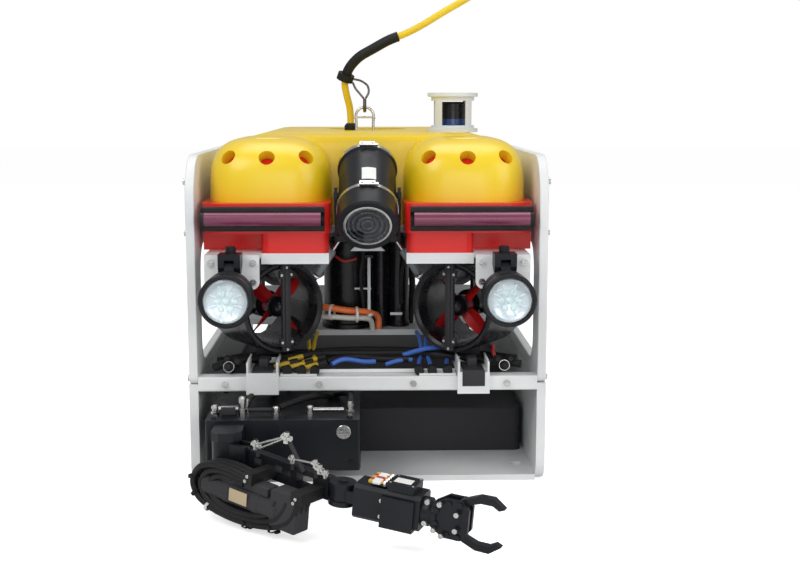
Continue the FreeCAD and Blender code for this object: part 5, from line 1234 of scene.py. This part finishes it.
    @staticmethod
    def _front_bracket() -> None:
        """Small white gusset under the camera, between the struts."""
        gusset = bmesh.new()
        outline = [(-0.030, 0.3880), (0.030, 0.3880), (0.012, 0.4045), (0.006, 0.4045), (0.0, 0.3985), (-0.006, 0.4045),
                   (-0.012, 0.4045)]
        join_rings(gusset, [[gusset.verts.new((x, y, z)) for x, z in outline] for y in (-0.414, -0.409)])
        finish_mesh("camera_gusset", gusset, WHITE_SHEET, "chassis")


# ------------------------------------------------------------------ thrusters
@dataclass
class ThrusterGuard:
    """Upright guard bar across a thruster's mouth, and the black cap on the propeller's hub."""

    side: int
    end: int
    half_tall: float = 0.0745
    half_wide: float = 0.0080
    face: float = 0.0700
    pad_face: float = 0.0692

    def build(self) -> None:
        """Make the bar on the chassis and the cap on the propeller."""
        place = thruster_frame(self.side, self.end)
        tag = ("front_" if self.end < 0 else "rear_") + side_tag(self.side)
        bar = bmesh.new()
        slab(bar, (-self.half_wide, -self.half_tall, 0.0626), (self.half_wide, self.half_tall, self.face), 0.0016,
             place)
        slab(bar, (-0.0034, -self.half_tall + 0.008, 0.0694), (0.0034, self.half_tall - 0.008, 0.0724), 0.0010, place)
        for across in (-0.058, 0.058):
            slab(bar, (-0.0125, across - 0.007, 0.0630), (0.0125, across + 0.007, self.pad_face), 0.0014, place)
        finish_mesh(f"guard_bar_{tag}", bar, BLOCK_BLACK, "chassis")
        screws = Fasteners(f"guard_screws_{tag}", "chassis", STEEL, 0.0026, 0.0016, Head.SOCKET)
        lone, pair = ((0.0,), self.face), ((-0.0095, 0.0095), self.pad_face)
        for across, (offsets, level) in ((-0.0705, lone), (-0.058, pair), (0.058, pair), (0.0705, lone)):
            for x in offsets:
                screws.add((x, across, level), UPWARD, place)
        screws.build()
        cap = bmesh.new()
        lathe(cap, [(0, 0.030), (0.0176, 0.030), (0.0180, 0.032), (0.0179, 0.040), (0.0160, 0.0490),
                    (0.0115, 0.0565), (0.0056, 0.0605), (0, 0.0614)], 40, place)
        for level in (0.0335, 0.0365):
            lathe(cap, [(0.0176, level), (0.0184, level + 0.0004), (0.0184, level + 0.0012), (0.0176, level + 0.0016)],
                  40, place)
        finish_mesh(f"propeller_cap_{tag}", cap, GLOSS_BLACK, f"prop_{tag}")
        log.info("thruster %s dressed", tag)


# ------------------------------------------------------------------ deck fittings
@dataclass
class DeckFittings:
    """Slim lift bail, and the sonar cage's sill, lintel and blue band."""

    bail: tuple[float, float] = (-0.022, 0.012)
    sonar: tuple[float, float] = (0.163, -0.150)
    bail_levels: tuple[float, ...] = (0.4262, 0.520, 0.600)
    arch: float = 0.6148
    fullness: float = 1.06

    def build(self) -> None:
        """Make the bail and dress the sonar."""
        self._bail()
        self._sonar()
        log.info("deck fittings dressed")

    def _bail(self) -> None:
        """Round bow of the lift point, standing in the float, with its cross pin."""
        left, right = self.bail
        middle, reach = (left + right) / 2, (right - left) / 2 * self.fullness
        angles = [math.radians(a) for a in range(0, 181, 15)]
        route = [(left, 0.0, z) for z in self.bail_levels]
        route += [(middle - reach * math.cos(a), 0.0, self.arch + reach * math.sin(a)) for a in angles]
        route += [(right, 0.0, z) for z in reversed(self.bail_levels)]
        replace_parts(hose("bail_bow", route, 0.0028, STEEL, "chassis"), "lift_bail")
        pin = bmesh.new()
        lathe(pin, [(0, left - 0.0045), (0.0034, left - 0.0045), (0.0034, left - 0.0025), (0.0021, left - 0.0022),
                    (0.0021, right + 0.0022), (0.0034, right + 0.0025), (0.0034, right + 0.0045), (0, right + 0.0045)],
              20, move(0, 0, 0.6125) @ turn("Y", 90))
        finish_mesh("bail_pin", pin, STEEL, "chassis")

    def _sonar(self) -> None:
        """Sill and lintel of the sonar cage's window, and the blue band behind it."""
        place = move(*self.sonar)
        rings = bmesh.new()
        for low, high in ((0.5930, 0.5988), (0.6452, 0.6535)):
            hoop(rings, [(0.0335, low), (0.0409, low), (0.0409, high), (0.0335, high)], 56, place)
        finish_mesh("sonar_sill_and_lintel", rings, ACETAL, "chassis")
        band = bmesh.new()
        hoop(band, [(0.0246, 0.5988), (0.0256, 0.5990), (0.0256, 0.6108), (0.0246, 0.6110)], 48, place)
        finish_mesh("sonar_blank_band", band, SONAR_BLUE, "chassis")


# ------------------------------------------------------------------ harness and beams
@dataclass
class Harness:
    """Sleeved leads and plugs lying behind the front beam, and the channel walls on the beam."""

    beam_top: float = 0.194
    rail_x: float = 0.177

    def build(self) -> None:
        """Make the channels, the flat plates, the leads and the plugs."""
        self._channels()
        self._flat_plates()
        self._leads()
        self._plugs()
        log.info("harness dressed")

    def _channels(self) -> None:
        """Up-turned walls of the two white channels, with dark seats between them."""
        walls, seats = bmesh.new(), bmesh.new()
        for side in (-1, 1):
            x = self.rail_x * side
            for edge in (-0.0265, 0.0230):
                slab(walls, (x + edge, -0.5075, self.beam_top - 0.001), (x + edge + 0.0035, -0.4300, 0.2120), 0.0009)
            slab(walls, (x - 0.0265, -0.4340, self.beam_top - 0.001), (x + 0.0265, -0.4310, 0.2060), 0.0009)
            slab(seats, (x - 0.0180, -0.5070, self.beam_top), (x + 0.0180, -0.4360, 0.1975), 0.0015)
            slab(seats, (x - 0.0080, -0.4780, self.beam_top), (x + 0.0080, -0.4480, 0.2120), 0.0020)
            if side > 0:
                slab(seats, (x - 0.0190, -0.5088, 0.1700), (x + 0.0190, -0.5070, 0.1972), 0.0006)
        finish_mesh("rail_channel_walls", walls, WHITE_SHEET, "chassis")
        finish_mesh("rail_channel_seats", seats, BLOCK_BLACK, "chassis")

    def _flat_plates(self) -> None:
        """Flat white plates on the beam beside the channels, and the raised edge behind them."""
        plates = bmesh.new()
        for low, high in ((-0.148, -0.086), (0.086, 0.148)):
            slab(plates, (low, -0.4980, 0.1862), (high, -0.4640, 0.1900), 0.0010)
        slab(plates, (-0.148, -0.4720, 0.1862), (0.148, -0.4690, 0.1925), 0.0008)
        finish_mesh("beam_flat_plates", plates, WHITE_SHEET, "chassis")

    def _leads(self) -> None:
        """Black, blue and red leads, crossing behind the beam."""
        runs = (
            ("black_a", ((-0.262, -0.470, 0.196), (-0.225, -0.452, 0.206), (-0.200, -0.440, 0.203),
                         (-0.150, -0.420, 0.204), (-0.080, -0.400, 0.206), (0.0, -0.395, 0.204),
                         (0.080, -0.402, 0.206), (0.150, -0.424, 0.204), (0.262, -0.460, 0.198)), 0.0070, RUBBER),
            ("black_b", ((-0.258, -0.440, 0.200), (-0.200, -0.420, 0.206), (-0.120, -0.396, 0.204),
                         (-0.040, -0.378, 0.206), (0.060, -0.374, 0.204), (0.160, -0.398, 0.206),
                         (0.258, -0.430, 0.200)), 0.0080, RUBBER),
            ("black_c", ((-0.070, -0.440, 0.200), (-0.030, -0.428, 0.208), (0.020, -0.432, 0.200),
                         (0.070, -0.446, 0.204)), 0.0060, RUBBER),
            ("blue_a", ((-0.062, -0.462, 0.199), (-0.048, -0.452, 0.2065), (-0.024, -0.446, 0.2030),
                        (-0.006, -0.446, 0.1990), (0.012, -0.440, 0.1990)), 0.0042, LEAD_BLUE),
            ("blue_b", ((0.060, -0.430, 0.208), (0.085, -0.424, 0.215), (0.112, -0.418, 0.219),
                        (0.142, -0.402, 0.216)), 0.0040, LEAD_BLUE),
            ("blue_c", ((0.030, -0.452, 0.196), (0.052, -0.446, 0.204), (0.076, -0.444, 0.203)), 0.0036, LEAD_BLUE),
            ("red_a", ((0.226, -0.452, 0.198), (0.212, -0.446, 0.214), (0.216, -0.438, 0.226)), 0.0032, LEAD_RED),
        )
        for tag, points, radius, finish in runs:
            hose(f"lead_{tag}", points, radius, finish, "chassis")

    @staticmethod
    def _plugs() -> None:
        """Yellow sleeves and black moulded plugs at the leads' ends, two of them ringed."""
        sleeves, plugs = bmesh.new(), bmesh.new()
        for x, y, z, lean in ((-0.146, -0.472, 0.2005, 8), (-0.124, -0.452, 0.2075, 16), (-0.120, -0.474, 0.2000, 12),
                              (-0.100, -0.456, 0.2040, 18), (-0.098, -0.476, 0.1985, 14)):
            spot = move(x, y, z) @ turn("Z", lean) @ turn("Y", 78)
            lathe(sleeves, [(0, -0.014), (0.0042, -0.014), (0.0046, -0.012), (0.0046, 0.012), (0.0040, 0.014),
                            (0, 0.014)], 20, spot)
            lathe(plugs, [(0, 0.0135), (0.0058, 0.0135), (0.0058, 0.026), (0.0048, 0.028), (0, 0.028)], 20, spot)
            lathe(plugs, [(0, -0.030), (0.0034, -0.030), (0.0052, -0.026), (0.0052, -0.0138), (0, -0.0138)], 20,
                  spot)
        for x, y, z in ((-0.236, -0.476, 0.1985), (-0.222, -0.462, 0.2045), (-0.240, -0.452, 0.2060),
                        (0.232, -0.474, 0.1985), (0.222, -0.456, 0.2050), (0.244, -0.450, 0.2040)):
            spot = move(x, y, z) @ turn("X", 78)
            lathe(plugs, [(0, -0.014), (0.0075, -0.014), (0.0082, -0.011), (0.0082, 0.002), (0.0062, 0.004),
                          (0.0062, 0.012), (0.0044, 0.014), (0, 0.014)], 24, spot)
        finish_mesh("lead_sleeves_yellow", sleeves, LEAD_YELLOW, "chassis")
        finish_mesh("lead_plugs_black", plugs, RUBBER, "chassis")
        rings = bmesh.new()
        for x, y, z in ((-0.236, -0.476, 0.1985), (0.232, -0.474, 0.1985)):
            hoop(rings, [(0.0084, -0.004), (0.0092, -0.004), (0.0092, 0.000), (0.0084, 0.000)], 24,
                 move(x, y, z) @ turn("X", 78))
        finish_mesh("lead_plug_rings", rings, STEEL, "chassis")


# ------------------------------------------------------------------ frame trim
@dataclass
class FrameTrim:
    """Screws of the frame and the skid, and the fittings and hoses on the manipulator's base."""

    half: float = 0.300
    base_front: float = -0.600
    base_top: float = 0.137

    def build(self) -> None:
        """Set the screws, the base's washer and its fittings."""
        heads = Fasteners("frame_socket_screws", "chassis", STEEL, 0.0052, 0.0028, Head.SOCKET)
        for side in (-1, 1):
            for y, z in ((-0.455, 0.182), (-0.380, 0.182), (0.380, 0.182), (0.455, 0.182), (-0.030, 0.182),
                         (0.030, 0.182), (-0.470, 0.470), (-0.470, 0.300), (0.470, 0.470), (0.470, 0.300),
                         (-0.250, 0.421), (0.250, 0.421), (-0.440, 0.536), (0.440, 0.536)):
                heads.add((self.half * side, y, z), (side, 0, 0))
            for y in (-0.44, -0.22, 0.0, 0.22, 0.44):
                for z in (0.009, 0.150):
                    heads.add((self.half * side, y, z), (side, 0, 0))
        heads.build()
        dark = Fasteners("base_cap_screws", "chassis", ANODISED, 0.0045, 0.0030, Head.SOCKET)
        for x, z in ((-0.250, 0.125), (-0.250, 0.066), (-0.150, 0.125), (-0.028, 0.066)):
            dark.add((x, self.base_front, z), FORWARD)
        for x in (-0.25, -0.14, -0.03):
            for y in (-0.585, -0.50, -0.40):
                dark.add((x, y, self.base_top), UPWARD)
        dark.build()
        washers = bmesh.new()
        hoop(washers, [(0.0058, 0.0), (0.0110, 0.0), (0.0115, 0.0006), (0.0115, 0.0016), (0.0108, 0.0022),
                       (0.0058, 0.0022)], 36, frame_along((-0.040, self.base_front, 0.117), FORWARD))
        finish_mesh("base_washer", washers, STEEL, "chassis")
        self._base_fittings()
        log.info("frame trimmed")

    def _base_fittings(self) -> None:
        """Steel hose fittings, tubes and black hoses on top of the manipulator base."""
        bright, dark = bmesh.new(), bmesh.new()
        for x, y, tall in ((-0.250, -0.560, 0.016), (-0.205, -0.560, 0.030), (-0.200, -0.545, 0.022),
                           (-0.150, -0.565, 0.014), (-0.095, -0.560, 0.014), (-0.030, -0.560, 0.020)):
            spot = move(x, y, self.base_top)
            lathe(bright, [(0, 0), (0.0070, 0), (0.0070, tall * 0.3), (0.0048, tall * 0.34), (0.0048, tall * 0.6),
                           (0.0062, tall * 0.64), (0.0062, tall * 0.9), (0.0040, tall), (0, tall)], 6, spot)
        for x0, x1, y, z, radius in ((-0.244, -0.212, -0.560, 0.1465, 0.0050), (-0.196, -0.156, -0.561, 0.1450, 0.0034),
                                     (-0.090, -0.040, -0.562, 0.1450, 0.0036)):
            lathe(bright if radius > 0.0034 else dark, [(0, 0), (radius, 0), (radius, x1 - x0), (0, x1 - x0)], 20,
                  move(x0, y, z) @ turn("Y", 90))
        slab(dark, (-0.240, -0.568, 0.1372), (-0.216, -0.550, 0.1500), 0.0015)
        finish_mesh("base_fittings", bright, STEEL, "chassis", smooth=25)
        finish_mesh("base_manifold", dark, BLOCK_BLACK, "chassis")
        for tag, points, radius in (
                ("a", ((-0.200, -0.536, 0.152), (-0.196, -0.500, 0.158), (-0.170, -0.440, 0.150),
                       (-0.150, -0.380, 0.118), (-0.150, -0.345, 0.100)), 0.0050),
                ("b", ((-0.145, -0.560, 0.148), (-0.110, -0.530, 0.156), (-0.070, -0.480, 0.150),
                       (-0.050, -0.400, 0.122), (-0.050, -0.345, 0.100)), 0.0050),
                ("c", ((-0.030, -0.556, 0.150), (-0.026, -0.520, 0.156), (-0.040, -0.460, 0.150),
                       (-0.080, -0.400, 0.124), (-0.084, -0.345, 0.100)), 0.0045)):
            hose(f"base_hose_{tag}", points, radius, RUBBER, "chassis")


# ------------------------------------------------------------------ manipulator
@dataclass
class ArmDressing:
    """Hose loops, fittings, ties, plates and screws of the manipulator."""

    bundle: tuple[tuple[float, float], ...] = (
        (0.056, -0.004), (0.022, -0.001), (-0.016, -0.003), (-0.046, -0.016), (-0.058, -0.042), (-0.044, -0.064),
        (-0.010, -0.075), (0.034, -0.078), (0.080, -0.074), (0.120, -0.064), (0.149, -0.046), (0.160, -0.015))
    lines: tuple[float, ...] = (-0.033, -0.044, -0.055)

    def build(self) -> None:
        """Dress the bundle, the upper arm, the forearm and the gripper."""
        self._ties()
        self._nested_hoses()
        self._upper()
        self._valves()
        self._forearm()
        self._gripper()
        log.info("manipulator dressed")

    def _ties(self) -> None:
        """Black straps with heads round the hose bundle, and one white tie."""
        black, white = bmesh.new(), bmesh.new()
        for index, (x, z, angle) in enumerate(((-0.0555, -0.034, 100), (-0.048, -0.0585, 140), (-0.020, -0.0735, 164),
                                               (0.060, -0.0770, 180), (0.112, -0.0680, 194))):
            form = white if index == 2 else black
            place = LIFT_FRAME @ move(x, -0.044, z) @ turn("Y", -angle)
            outline = [(a * 0.0182, b * 0.0070) for a, b in
                       ((-0.72, -1), (0.72, -1), (1, -0.55), (1, 0.55), (0.72, 1), (-0.72, 1), (-1, 0.55), (-1, -0.55))]
            rings = []
            outside, inside = (1.0, 1.0), (0.955, 0.86)
            for along, (wide, tall) in ((-0.0024, outside), (-0.0024, inside), (0.0024, inside), (0.0024, outside)):
                rings.append([form.verts.new(place @ Vector((along, y * wide, rise * tall))) for y, rise in outline])
            join_rings(form, rings + rings[:1], caps=False)
            slab(form, (-0.0032, -0.004, 0.0062), (0.0032, 0.004, 0.0108), 0.0008, place)
        finish_mesh("bundle_ties_black", black, RUBBER, "upper")
        finish_mesh("bundle_ties_white", white, PLATE_BLANK, "upper")

    def _nested_hoses(self) -> None:
        """Inner loops of the bundle, the black actuator inside them and the block at its end."""
        centre = (0.045, -0.038)
        for index, share in enumerate((0.82, 0.64)):
            for row, across in enumerate(self.lines):
                points = [(centre[0] + share * (x - centre[0]), across, centre[1] + share * (z - centre[1]))
                          for x, z in self.bundle]
                hose(f"inner_hose_{index}{row}", points, 0.0050, RUBBER, "upper", LIFT_FRAME)
        drum = bmesh.new()
        lathe(drum, [(0, -0.034), (0.0150, -0.034), (0.0180, -0.031), (0.0180, 0.010), (0.0190, 0.011),
                     (0.0190, 0.024), (0.0180, 0.025), (0.0180, 0.070), (0.0190, 0.071), (0.0190, 0.084),
                     (0.0180, 0.085), (0.0180, 0.118), (0.0150, 0.121), (0, 0.121)], 40,
              LIFT_FRAME @ move(0, -0.044, -0.040) @ turn("Y", 90))
        slab(drum, (0.108, -0.0590, -0.0640), (0.158, -0.0260, -0.0060), 0.0025, LIFT_FRAME)
        slab(drum, (-0.010, -0.0560, -0.0240), (0.100, -0.0300, -0.0100), 0.0030, LIFT_FRAME)
        finish_mesh("upper_arm_actuator", drum, BLOCK_BLACK, "upper")

    @staticmethod
    def _upper() -> None:
        """Steel tubes with their fittings over the arm, and the beige plate."""
        tubes = bmesh.new()
        for first, last, radius in (((0.032, 0.031), (0.088, 0.0585), 0.0019),
                                    ((0.040, 0.027), (0.088, 0.0560), 0.0021),
                                    ((0.107, 0.029), (0.150, 0.034), 0.0019)):
            low, high = (Vector((x, -0.012, z)) for x, z in (first, last))
            round_bar(tubes, low, high, radius, 16, LIFT_FRAME)
        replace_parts(finish_mesh("upper_steel_tubes", tubes, STEEL, "upper"), "arm_tubes")
        stays = bmesh.new()
        for first, last in (((0.092, 0.058), (0.128, 0.014)), ((0.032, 0.031), (0.036, 0.012)),
                            ((0.107, 0.029), (0.107, 0.012)), ((0.150, 0.034), (0.153, 0.012))):
            low, high = (Vector((x, -0.010, z)) for x, z in (first, last))
            round_bar(stays, low, high, 0.0034, 8, LIFT_FRAME)
        finish_mesh("upper_tube_stays", stays, BLOCK_BLACK, "upper")
        bright = bmesh.new()
        for x, z, size in ((0.032, 0.031, 0.0052), (0.092, 0.0585, 0.0058), (0.107, 0.029, 0.0046),
                           (0.151, 0.034, 0.0042), (0.160, 0.028, 0.0048), (0.172, 0.024, 0.0044)):
            for tilt in (0, 90):
                lathe(bright, [(0, -size * 1.5), (size * 0.8, -size * 1.5), (size * 0.8, -size * 0.6),
                               (size, -size * 0.5), (size, size * 0.5), (size * 0.8, size * 0.6),
                               (size * 0.8, size * 1.5), (0, size * 1.5)], 6,
                      LIFT_FRAME @ move(x, -0.012, z) @ turn("Y", tilt))
        finish_mesh("tube_fittings", bright, STEEL, "upper", smooth=25)
        patch = bmesh.new()
        slab(patch, (0.030, -0.0640, -0.0460), (0.066, -0.0625, -0.0260), 0.0006, LIFT_FRAME)
        finish_mesh("bundle_beige_plate", patch, BEIGE_PATCH, "upper")
        screws = Fasteners("upper_arm_screws", "upper", STEEL, 0.0030, 0.0018, Head.SOCKET)
        for x, z in ((0.064, 0.001), (0.160, -0.006), (0.060, -0.007), (0.156, -0.013)):
            screws.add((x, -0.062, z), FORWARD, LIFT_FRAME)
        screws.build()

    @staticmethod
    def _valves() -> None:
        """Row of coloured fittings into the valve box, its blank plate and its screws."""
        colours = (("white", PLATE_BLANK), ("yellow", LEAD_YELLOW), ("red", LEAD_RED))
        forms = {tag: bmesh.new() for tag, _ in colours}
        bright = bmesh.new()
        for index in range(5):
            y = -0.016 + index * 0.008
            spot = ELBOW_FRAME @ move(0.052, y, 0.0330) @ turn("Y", 90)
            body = forms[("white", "white", "red", "white", "white")[index]]
            lathe(body, [(0, 0), (0.0034, 0), (0.0036, 0.002), (0.0036, 0.011), (0.0028, 0.013), (0, 0.013)], 14, spot)
            tip = forms[("yellow", "red", "yellow", "red", "yellow")[index]]
            lathe(tip, [(0, -0.006), (0.0028, -0.006), (0.0034, -0.004), (0.0034, -0.0004), (0, -0.0004)], 12, spot)
            lathe(tip, [(0, 0.0134), (0.0036, 0.0134), (0.0036, 0.0170), (0, 0.0170)], 6, spot)
            lathe(bright, [(0, 0.0172), (0.0042, 0.0172), (0.0042, 0.0205), (0, 0.0205)], 6, spot)
        for tag, finish in colours:
            finish_mesh(f"valve_fittings_{tag}", forms[tag], finish, "fore")
        finish_mesh("valve_nuts", bright, STEEL, "fore", smooth=25)
        plate = bmesh.new()
        slab(plate, (0.082, -0.012, 0.0380), (0.108, 0.006, 0.0386), 0.0002, ELBOW_FRAME)
        finish_mesh("valve_blank_plate", plate, PLATE_BLANK, "fore")
        cap = Fasteners("valve_box_screws", "fore", STEEL, 0.0020, 0.0012, Head.SOCKET)
        for x in (0.0790, 0.1130):
            for y in (-0.0165, 0.0165):
                cap.add((x, y, 0.0380), UPWARD, ELBOW_FRAME)
        cap.build()

    @staticmethod
    def _forearm() -> None:
        """Screws on the forearm's side."""
        screws = Fasteners("forearm_screws", "fore", STEEL, 0.0036, 0.0020, Head.SOCKET)
        for x, z in ((0.070, 0.010), (0.106, 0.006), (0.070, -0.014), (0.106, -0.016)):
            screws.add((x, -0.023, z), FORWARD, ELBOW_FRAME)
        screws.build()

    @staticmethod
    def _gripper() -> None:
        """Bright screws on the palm plates."""
        screws = Fasteners("palm_screws", "palm", STEEL, 0.0042, 0.0026, Head.SOCKET, 0.5)
        for x, z in ((0.010, 0.022), (0.028, 0.022), (0.008, -0.010), (0.022, -0.018), (0.034, -0.024),
                     (0.054, 0.012), (0.054, -0.012)):
            screws.add((x, -0.0205, z), FORWARD, WRIST_FRAME)
        screws.build()


def main() -> None:
    """Build the dressed vehicle, piece by piece."""
    Studio().build()
    Tether().build()
    dress_nodes()
    log.info("nodes dressed: %d", len(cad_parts))
    Float().build()
    for side in (-1, 1):
        LampFace(side).build()
    CameraPort().build()
    DeckFittings().build()
    for end in (-1, 1):
        for side in (-1, 1):
            ThrusterGuard(side, end).build()
    CentreBay().build()
    Harness().build()
    FrameTrim().build()
    ArmDressing().build()


if __name__ == "__main__":
    logging.basicConfig(level=logging.INFO, format="%(name)s: %(message)s")
    main()
